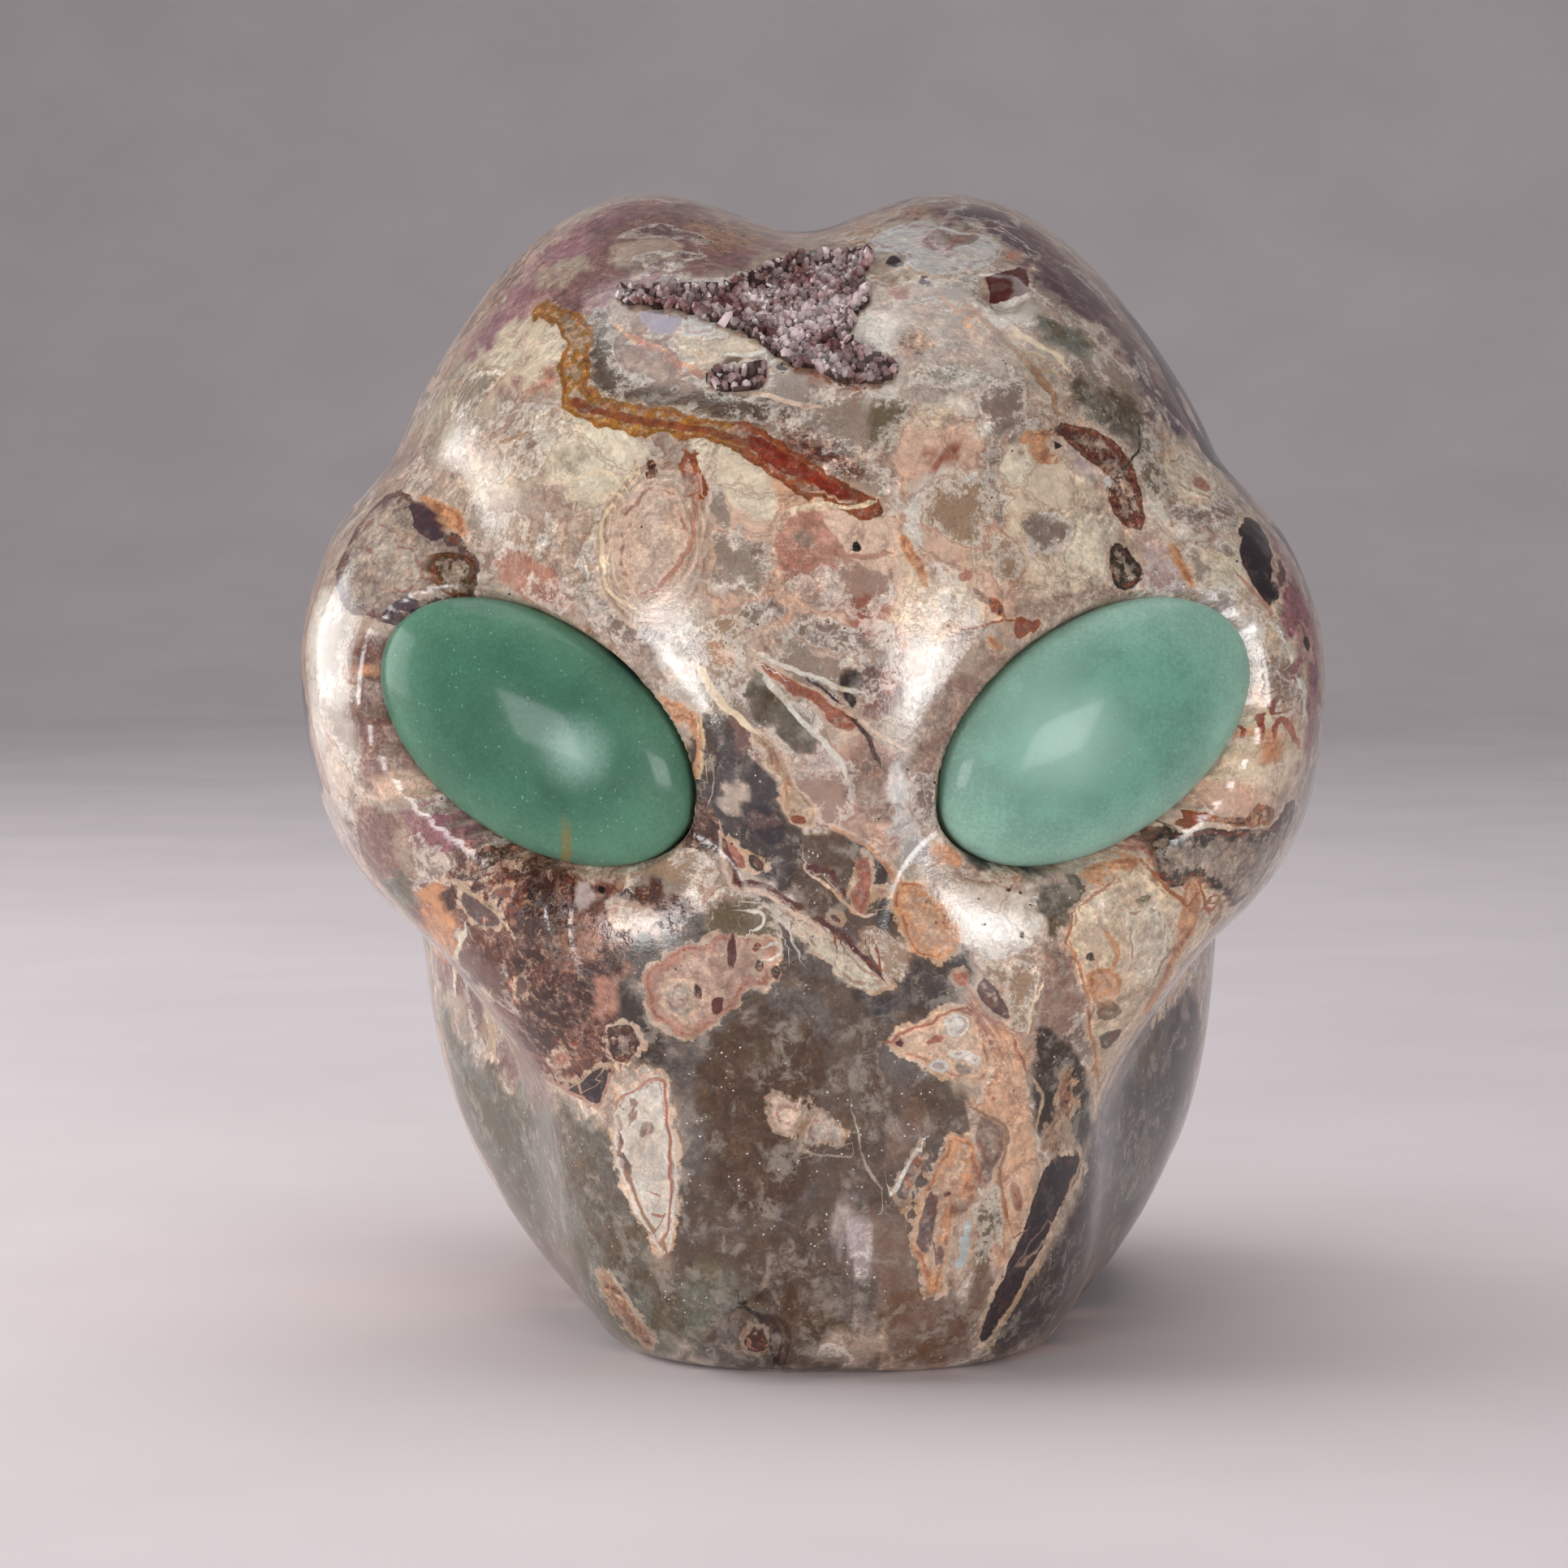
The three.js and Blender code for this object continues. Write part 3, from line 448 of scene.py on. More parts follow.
# Pieces with a crisp edge, tint, pale rim from 0 to 1, raggedness and outline. Large ones first,
# then the small ones that lie in them.
PIECES = [
    ("cool white", 0.3, 0.3, "7.2,44 7.4,45.3 9,46 11.5,46.3 13.5,45.9 15,45.3 17,44.8 18.2,43.8 17.3,42.8"
        " 15,42.2 13,41.8 11,42 10.2,42.8 9.8,43.4 8.6,43.6"),
    ("cool white", 0.2, 0.3, "-9,39.4 -7,39.6 -5,38.8 -4.2,38.5 -5.5,37.6 -6.5,36.7 -7.5,36.5 -8.4,37.2"
        " -8.2,38.2"),
    ("plum", 0.2, 0.5, "-36.4,19.6 -35,22.6 -33,24 -31,24.2 -29.8,23.2 -28,21.4 -26.2,19.8 -25.2,18.4"
        " -25,16.6 -25.4,15 -29,14.4 -31,13.2 -33,12.6 -34,13.8 -36.2,14 -36.8,16"),
    ("amber", 0.2, 0.6, "-21.4,38.9 -20.2,39.8 -18.4,39.4 -17,38.8 -15.8,37.8 -15.6,36.6 -16.2,35.4 -16,34"
        " -15.9,32.8 -15,31.6 -13.4,31.2 -11.4,30.9 -9.4,30.9 -7.4,30.4 -5.4,30 -3.6,29.8 -2,28.8 -3.4,27.6"
        " -5.6,28 -8,28.3 -10.6,28.8 -12.8,29 -14.6,29.2 -16.4,29.6 -18,30.2 -18.6,31.6 -18.4,33.4"
        " -18.2,35.2 -18,36.6 -18.8,37.6 -20,38"),
    ("rust", 0.1, 0.6, "-4.8,29.8 -3,29.8 -1.2,28.8 0.6,27.8 2.4,26.6 4,25.2 6,24.2 8,22.9 8,21.8 5.6,22.2"
        " 3.2,23 1.2,24 -0.6,25 -2,26.2 -3.4,27.2 -4.6,28.2"),
    ("agate ring", 0.7, 0.3, oval(-10.6, 19.6, 4.7, 6.9, -8)),
    ("rust", 0, 0.9, "-9.4,27 -7.6,27.6 -6,26 -6.4,23.4 -7.6,21 -8.6,22.6 -9.6,24.6"),
    ("red brown", 0.4, 0.2, "21.4,29.6 24,29.6 26.6,28.6 28.4,26.8 29.3,24.4 29.7,21.6 29.2,20.4 27.8,21.2"
        " 26.8,22.8 26.4,24.4 26.2,25.8 24.8,27 23.2,28.2"),
    ("orange", 0.2, 0.5, "19.3,28.3 20.4,29.4 21.6,29 21.6,27.4 22.8,25.6 21.6,26.4 20.4,27"),
    ("dark quartz", 0.4, 0.12, "26.6,19.9 27.8,19.7 29,18.4 30,16.3 28.5,16.3 27.5,15.4 26.9,17"),
    ("yellow cream", 0.8, 0.5, oval(33.8, 25.4, 2.7, 1.7, -30)),
    ("dark violet", 0.3, 0.3, "38.4,24.6 39.6,23.2 40.1,20 40.1,17 40.5,14 39.2,14.8 38,17.4 37.2,19.4"
        " 38.2,20.2 37,20.8 38.5,22.2"),
    ("plum", 0.5, 0.2, "40.6,19.6 41.3,19 41.2,16.8 40.9,15.8 40.5,17.4"),
    ("dark violet", 0.4, 0.2, "42.2,13.2 43,12.2 43.6,10.8 43.4,10.2 42.8,11.4"),
    ("dark quartz", 0.5, 0.3, "30,-3.2 31.4,-3 32,-4.4 33,-3.8 36,-3.8 40,-3.8 41,-1.6 43.4,-0.6 43,-4"
        " 40.4,-8 37.6,-11 36.2,-9.6 34.8,-8 33.4,-7.6 32.4,-8.6 30.6,-7.6 29.6,-5.6"),
    ("warm cream", 0.7, 0.5, "24.2,-9.4 25.6,-8.9 26.6,-8 27.2,-7.1 29,-6.8 30.6,-8 32.6,-9.4 33,-7.6"
        " 34.5,-7.5 35.8,-9 36.6,-10 35.6,-12 34,-14 32.5,-16 31,-18.4 29,-21.2 27.4,-23.4 26.2,-26"
        " 25.6,-27.6 25.3,-24 25,-20 24.9,-17 24,-14.8 23.3,-13 23.6,-11"),
    ("salmon", 0.5, 0.5, "23.2,-5.8 25.2,-4.8 28.4,-2.6 30,-2.4 30.4,-4 29.6,-5.4 27,-5.2 24.6,-6.4"),
    ("orange", 0.6, 0.4, "24.2,-7.4 25.4,-6.6 28.8,-5.6 29.8,-6.4 28.4,-7.4 26.6,-7.2 25.8,-8.4 24.6,-8.2"),
    ("salmon", 0.8, 0.4, "-11.6,-16 -11,-19 -9.4,-20.4 -7.3,-21 -5.6,-19.6 -4,-17.8 -2.8,-16.6 -1,-16.2"
        " -0.4,-13.4 -1.6,-12.6 -4,-12.4 -7,-13 -9,-14 -11,-15"),
    ("white", 1, 0.25, "-13.8,-24.3 -13,-25.1 -11.8,-24.8 -10.8,-23.8 -9.8,-23.9 -9.6,-27 -9,-30 -8.8,-33"
        " -9,-37 -9.6,-39.2 -11,-37.4 -12.7,-34 -14,-30.6 -13.8,-28.6 -14,-27 -13.3,-26"),
    ("dark violet", 0.6, 0.08, "-19.5,-24.1 -16.8,-24.7 -16,-23.8 -14.3,-23.1 -14.9,-26.7 -17,-25.7"),
    ("peach", 1, 0.3, "8.3,-21 10,-20 12,-19.2 14.5,-18 16,-19 16.6,-21 17,-23 16.4,-24.6 15,-24.1"
        " 13.4,-24.1 11.8,-23.1 10.4,-22.3 9.2,-21.9"),
    ("dark violet", 0.9, 0.1, "22.3,-30.3 23.2,-30.8 24.6,-30.3 24.3,-32.2 22.8,-34.3 21.6,-37 20.2,-40"
        " 18.4,-43 16.4,-46.4 16,-45.2 17.5,-41.5 18.8,-38.5 20.3,-35 21,-32.4"),
    ("orange", 0.8, 0.35, "13.8,-28.8 15.4,-29.2 16,-31 15.6,-33 14,-34.8 13.8,-37 13.2,-39 12.8,-42"
        " 11.5,-42.2 11.6,-39.6 10.4,-39 10.7,-36 11.5,-33.5 12.5,-31 13.4,-30"),
    ("mauve", 0.7, 0.12, "16,-27 17.6,-27.8 18.5,-29 18,-30.6 17,-31.6 15.9,-30.6 15.8,-28.4"),
    ("plum", 0.5, 0.1, "11.5,-29.3 11,-30 9.7,-31.8 8.7,-34.3 9.6,-34.8 10.4,-33.5 11.4,-31"),
    ("mauve", 0.6, 0.15, "17.6,-31.8 16.4,-33.6 14.6,-35.6 13.6,-35.4 14.4,-34 15.8,-32.4 16.4,-31.6"),
    ("tan", 0.5, 0.15, "20.7,-29.9 22.3,-27.2 23.2,-27.2 24.2,-29.9 23.2,-29.5 22.6,-28.6 21.4,-30.2"),
    ("brown tan", 0.8, 0.2, "22.4,-26.8 22.8,-24.8 23.4,-22.8 23.8,-25 23.8,-26.8 23.2,-27.4"),
    ("brown tan", 0.6, 0.2, "-15.4,-39.8 -14.4,-40.4 -12.6,-43 -10.4,-46.2 -11.6,-46 -13.8,-43.2"
        " -15,-41.2"),
    ("salmon red", 0.7, 0.3, "-3,10.8 -1,9.4 1,8.2 3,7.4 5,5.6 6.4,5 5.4,4.2 4,4.8 2.6,6.2 0.6,7.6 -1.4,9"),
    ("tan", 0.8, 0.4, "-2.6,4.8 -1,3.6 0,1.6 0.6,0 1.8,-1.2 2.6,-2.6 1.2,-3.8 0.3,-2.4 -0.2,-0.4 -0.8,1.4"
        " -2,3.4"),
    ("orange", 0.6, 0.3, "-10.4,7.4 -8.8,6.8 -7.6,6 -6.8,4.8 -7,3.4 -7.6,4.4 -8.4,5.2 -10,5.6"),
    ("salmon red", 0.8, 0.3, "5.6,-5.8 7,-5.8 7.1,-8 7,-10 6.2,-10.7 5.2,-9.6 6,-8.2"),
    ("orange", 0.9, 0.35, "9,-8.4 11.4,-7.8 11.8,-9.4 13.8,-10.6 14.8,-13.4 12.6,-14.4 10.6,-13.8 9.6,-12"
        " 9.2,-11 8.6,-10"),
    ("cream", 0.7, 0.2, "0.8,-11.6 3,-12.4 5,-13 7,-15.4 9.4,-16.4 7,-16.9 4.8,-16.2 3.4,-14.2 1.6,-13"),
    ("dark brown", 0.9, 0.35, "-14.6,-20.2 -13,-19.6 -11.8,-20.4 -11.7,-22 -13,-23.2 -14.4,-22.4"),
    ("plum", 0.4, 0.15, "16.2,-16 17,-16 18.6,-18.6 18.4,-19.6 17.2,-18.8 15.8,-17.4"),
    ("salmon red", 0.7, 0.15, "13.6,-15.8 15,-15.2 15.2,-16 14.8,-16.8"),
    ("pink cream", 0.6, 0.3, "-1.4,-25.8 -0.4,-25.4 0.6,-26.2 1.4,-25.6 2,-26.2 1.4,-27.2 0.8,-28.2"
        " -0.4,-28.6 -0.8,-27.4"),
    ("grey cloud", 0.5, 0.4, "2.2,-27.6 3,-27 3.8,-27.6 3.6,-28.4 4.8,-28.6 5,-29.4 3,-29.6 1.4,-30.4"
        " 1.6,-29"),
]

SMALL_PIECES = [
    ("dark brown", 0.3, 0.5, "-3.4,-44.4 -2.2,-43.8 -1.4,-44.6 -1.2,-46.4 -2.4,-46.8 -3.4,-45.8"),
    ("red", 0, 0.5, "-3.4,28.6 -1.8,28.4 -0.4,27.4 1,26.8 2.4,25.6 1.6,25 -0.2,25.8 -2,27"),
    ("lavender", 0, 0.3, "-12,38.5 -11,39.5 -9.5,39.6 -8.5,39 -8.2,37.8 -8.6,37.2 -10,37 -11.2,37.3"),
    ("pale lavender", 0, 0.5, "11.6,45.4 13.6,44.6 14.6,43.4 12.6,43.2 11,44.4"),
    ("mauve", 0, 0.5, "11.6,46 14.6,45.3 16.6,44.6 14.6,44.4 12.4,45"),
    ("plum", 0, 0.15, "-7.4,38.7 -6.6,38.8 -6.5,38.3 -7.4,38.3"),
    ("black", 0, 0.25, "8.2,42.8 8.8,43.5 10,42.8 10,42.2 9,42.5"),
    ("dark plum", 0.3, 0.3, "10.9,41.4 11.2,41.8 12.8,41.6 12.4,40.9 11.2,41"),
    ("dark red", 0.2, 0.4, "16,41.8 18.6,42 20,42.8 20.4,40.6 18.4,39.8 17,38.6 16.8,40"),
    ("salmon", 0.3, 0.2, "17.8,43.6 19.4,43.9 19.8,43.2 18.4,43"),
    ("salmon red", 0.5, 0.4, "8,40.2 10,41 10.6,40.6 10.2,39.6 8.6,39.8"),
    ("cream", 0.5, 0.2, "10,42 11,41.6 10.6,41 9.2,41"),
    ("black", 0.4, 0.12, "-0.8,34.4 -0.2,34.9 0.4,34.2 0.5,33.5 -0.4,33.9"),
    ("pink cream", 0.5, 0.5, oval(-10.8, 20.0, 3.0, 4.7, -10)),
    ("dark brown", 0, 0.6, "-11.4,26.2 -10.4,26.4 -9.8,25.4 -10.6,24.8"),
    ("red", 0, 0.4, oval(0.7, 26.1, 1.0, 0.6, -25)),
    ("rust", 0, 0.4, "-17.6,31.6 -16.6,32 -15.8,31 -15.4,30.6 -16.6,30.4 -17.8,30.8"),
    ("black", 0.3, 0.12, "5,19.3 5.6,19.4 5.9,20.2 6.1,19.6 6.7,19.3 5.8,19.1"),
    ("black", 0.5, 0.08, "21.8,28.3 22.6,28 23.5,27.1 22.8,27.1 22,27.7"),
    ("cool white", 0.6, 0.05, oval(26.5, 24.7, 0.45, 0.75, -5)),
    ("orange", 0.5, 0.12, "30.8,20 31.6,19.9 33,18.3 33.8,16.4 33.6,15.2 32.8,17 31.5,18.8"),
    ("salmon", 0.2, 0.3, "14.2,17.3 15.4,17.6 15.4,16.6 14.4,16.5"),
    ("orange", 0.4, 0.3, "9.4,20.2 10,20.6 10.8,19 12.2,16.4 11.6,16.2 10.2,18 9.6,19"),
    ("deep orange", 0.5, 0.25, "16.6,15.4 17.6,15.3 18.4,13.8 18.6,13.4 17.4,13.9 16.8,14.8"),
    ("mauve", 0.3, 0.25, "15.2,16.2 16.4,15.8 17,15 16,14.8"),
    ("rust", 0.4, 0.35, "18.8,12.2 19.2,14 20.2,13.6 21.4,13.4 20.6,12.4 20,12.8 19.4,11.6"),
    ("orange", 0.3, 0.3, "16.6,12.4 18,12 18.2,10.8 17,11.2"),
    ("rust", 0.4, 0.3, "-12.4,7.8 -11.4,8 -11.2,7 -11.8,6.8"),
    ("orange", 0.5, 0.12, "-30.6,24 -29.4,23.6 -27,22.8 -26.2,21.6 -25.8,20 -25.6,19.5 -27.5,21.1"
        " -29.5,22.9"),
    ("brown quartz", 0, 0.5, "-29.6,18.4 -27,19.4 -25.4,18.2 -25.2,16 -26.4,14.8 -28,15.4 -28.6,17"),
    ("grey cloud", 0.3, 0.7, "-35,21.6 -33,22.4 -31.6,20.4 -30,18.6 -29,17 -31,15.4 -33,16.6 -34.4,19"),
    ("dark plum", 0, 0.4, "-33.8,13.6 -32,15 -30,15.6 -28.6,14.6 -31,13.2 -32.6,12.8"),
    ("dark plum", 0, 0.35, "-31,23.6 -29.8,22.8 -27.6,20.8 -28.6,19.6 -30.4,21"),
    ("plum", 0.9, 0.1, "-27.2,-7.5 -26.8,-7.3 -25,-7.7 -24.4,-8 -25.4,-8 -26.8,-7.9"),
    ("plum", 0.9, 0.1, "-22.6,-6.3 -21.6,-6.7 -21.2,-7.1 -22.2,-7"),
    ("plum", 0.8, 0.12, "-26.4,-8.6 -25.2,-9.2 -24,-10.4 -23,-11.4 -24.2,-11.8 -25.6,-11.2 -26.4,-10"),
    ("mauve brown", 0.6, 0.15, "-24.4,-8.6 -23,-8.4 -22.2,-8.6 -22.8,-9.7 -24,-9.2"),
    ("dark red", 0.2, 0.2, "-27.5,-4.2 -26.6,-3.9 -26.6,-5 -27.4,-5.1"),
    ("dark brown", 0.2, 0.4, "-25.6,-5.6 -24,-4.6 -23,-5.6 -23.6,-7 -25,-7"),
    ("dark brown", 0.1, 0.4, "-18.6,-7.6 -17.4,-7.6 -17.2,-9 -18.4,-9.4"),
    ("plum", 0.6, 0.2, "-22,-16 -21.2,-15.6 -21,-17 -21.8,-17.6"),
    ("red", 0.1, 0.4, "-17.4,-21 -16.8,-20.6 -16.6,-21.6 -17.2,-22"),
    ("salmon", 0.8, 0.2, oval(-18.3, -22.6, 0.7, 0.55)),
    ("grey cloud", 0.8, 0.25, "-10,-17.5 -9,-16.3 -7.8,-16.5 -7.3,-18 -8,-19.2 -9.2,-18.8"),
    ("dark red", 0.3, 0.3, "-6,-17.4 -5.2,-17.2 -5,-18.6 -6,-19.4"),
    ("dark brown", 0.3, 0.2, "-7.4,-16.2 -6.8,-16.4 -6.6,-17.8 -7.2,-18"),
    ("dark red", 0.3, 0.25, "-4.2,-12 -3.8,-13 -4,-14.4 -4.6,-15.6 -4.8,-14.4 -4.4,-13"),
    ("dark brown", 0.4, 0.15, oval(-2, -14.9, 0.35, 0.5)),
    ("dark brown", 0.4, 0.15, oval(-0.7, -15.4, 0.4, 0.6)),
    ("rust", 0.4, 0.2, oval(-2.3, -13.4, 0.3, 0.5, -30)),
    ("dark quartz", 0.9, 0.15, oval(-2.2, -6.5, 0.85, 0.5, -40)),
    ("salmon red", 0.9, 0.3, "-4.8,-4.4 -3.6,-5.4 -3,-6.8 -4,-7 -4.6,-6"),
    ("rust", 0.6, 0.25, "0.3,-2.6 1.2,-2.4 1.8,-3.1 1,-3.4"),
    ("salmon", 0.9, 0.1, oval(8, -8.7, 0.4, 0.3)),
    ("dark violet", 0.2, 0.25, oval(3.9, -7.4, 0.3, 0.3)),
    ("dark red", 0.6, 0.15, "3.6,-10.7 4.4,-10.9 4.8,-11.4 4.2,-11.6"),
    ("mauve", 0, 0.6, "-12.8,-25.8 -12.2,-25.4 -12.2,-27.6 -12.8,-28.4 -13.2,-27.6"),
    ("grey blob", 0, 0.6, oval(-11.4, -28.2, 0.9, 0.5, 20)),
    ("mauve", 0, 0.3, oval(-12.2, -31.3, 0.35, 0.35)),
    ("grey blob", 0, 0.4, oval(-10.5, -25.2, 0.4, 0.6)),
    ("white", 0.3, 0.3, "13.2,-19.6 14.6,-18.8 15.4,-19.8 14.6,-20.9 13.6,-20.6"),
    ("salmon red", 0.2, 0.3, "11.4,-21.4 13,-20.4 13.4,-21 12,-21.9"),
    ("white", 0.2, 0.2, "13.2,-22.1 15,-21.7 16,-22.3 16.2,-23.2 15.2,-22.7 14,-22.5"),
    ("cool white", 0.4, 0.3, "12,-22.8 13,-22.6 13.9,-23.4 13,-23.8 12.2,-23.4"),
    ("grey blob", 0.3, 0.2, "14,-22.9 15.6,-23.1 15.6,-24 14.4,-23.7"),
    ("dark red", 0.4, 0.15, "9,-21 9.8,-20.7 9.8,-21.4 9.2,-21.5"),
    ("plum", 0.5, 0.12, "12.2,-33 12.8,-34.2 12.4,-36 12,-38.9 10.8,-38.7 11,-36.4 11.6,-34.4"),
    ("mauve brown", 0.5, 0.12, "12.8,-37 13.2,-38.4 12.8,-40 12.2,-40.4 12.4,-38.6"),
    ("blue white", 0.5, 0.12, "15,-35.3 15.6,-36 15.2,-38 14.8,-39.9 13.9,-39.8 14.3,-38 14.7,-36.5"),
    ("deep orange", 0.2, 0.25, "13,-33.4 13.9,-33.2 13.8,-34.1 13.3,-34.2"),
    ("deep orange", 0.3, 0.3, oval(17, -25.6, 0.5, 0.3, -30)),
    ("deep orange", 0.3, 0.3, "11,-30.2 11.5,-29.3 11.5,-31 10.5,-33.6 9.8,-34.6 10.3,-33"),
    ("salmon", 0.5, 0.2, "18.4,-32.6 19.2,-32.4 19.8,-35 19.2,-35.6 18.6,-34"),
    ("orange", 0.4, 0.3, "25.2,-15.2 27,-15.1 27.9,-16.5 26.8,-18 25.4,-18.5 25,-17"),
    ("orange", 0.4, 0.3, "32.6,-8.4 33.4,-7.8 34.3,-8.4 34.5,-10 33.5,-12.5 32,-14.8 31.2,-17.5 29.6,-20.4"
        " 27,-23.4 28.6,-20.6 30.5,-17 31.5,-14 32.8,-11"),
    ("yellow cream", 0.3, 0.6, "27.4,-10.2 30,-9.8 32.2,-11.4 31.6,-15 29.6,-17.2 28.4,-15.4 28.4,-12.6"),
    ("olive", 0.4, 0.4, "25.6,-18.6 27,-17.8 28,-18.4 27.4,-19.4 26,-19.4"),
    ("olive", 0.4, 0.35, "28.6,-9.4 30.4,-9.3 30,-9.9 28.9,-9.9"),
    ("grey quartz", 0.3, 0.4, "25.9,-20.4 28.2,-20.2 27.2,-21.6 26,-21.8"),
    ("dark quartz", 0.5, 0.12, oval(25.2, -14.1, 0.3, 0.4)),
    ("rust", 0.4, 0.4, "31,-1.4 32.4,-1 32.6,-2.4 34.4,-2.4 35.6,-2.6 36,-3.4 33.6,-3.2 32.8,-4.2 31.8,-3.6"
        " 31.4,-2.4"),
    ("brown tan", 0.4, 0.4, "35.6,-2.8 38,-3 38.6,-1.8 40.2,-1.6 40.2,-3 39.4,-3.6 36,-3.6"),
    ("rust", 0.3, 0.3, oval(39.2, -2.2, 0.4, 0.7)),
    ("black", 0.3, 0.1, "32.8,19.8 33.4,19.9 34.6,19.8 33.6,19.6"),
    ("dark brown", 0.3, 0.1, oval(31.8, 20.5, 0.3, 0.2)),
    ("salmon", 0.4, 0.3, oval(34.2, 24.7, 0.9, 0.5, -30)),
    ("black", 0, 0.08, oval(-15, -8.7, 0.3, 0.35)),
    ("black", 0.2, 0.1, oval(20.4, -10.1, 0.42, 0.4)),
    ("dark brown", 0, 0.12, oval(18.4, -8.6, 0.35, 0.18)),
    ("dark brown", 0, 0.1, oval(19.4, -8.9, 0.15, 0.18)),
    ("dark brown", 0, 0.1, oval(16.5, -11.6, 0.22, 0.25)),
    ("dark brown", 0, 0.12, oval(19.6, -12.4, 0.16, 0.35)),
    ("dark brown", 0, 0.1, oval(15.9, -9.4, 0.15, 0.15)),
    ("dark brown", 0, 0.1, oval(13.5, 13, 0.15, 0.2)),
    ("dark violet", 0.3, 0.3, "5.2,6.6 5.9,6.2 5.8,7.4 5.2,7.6"),
]

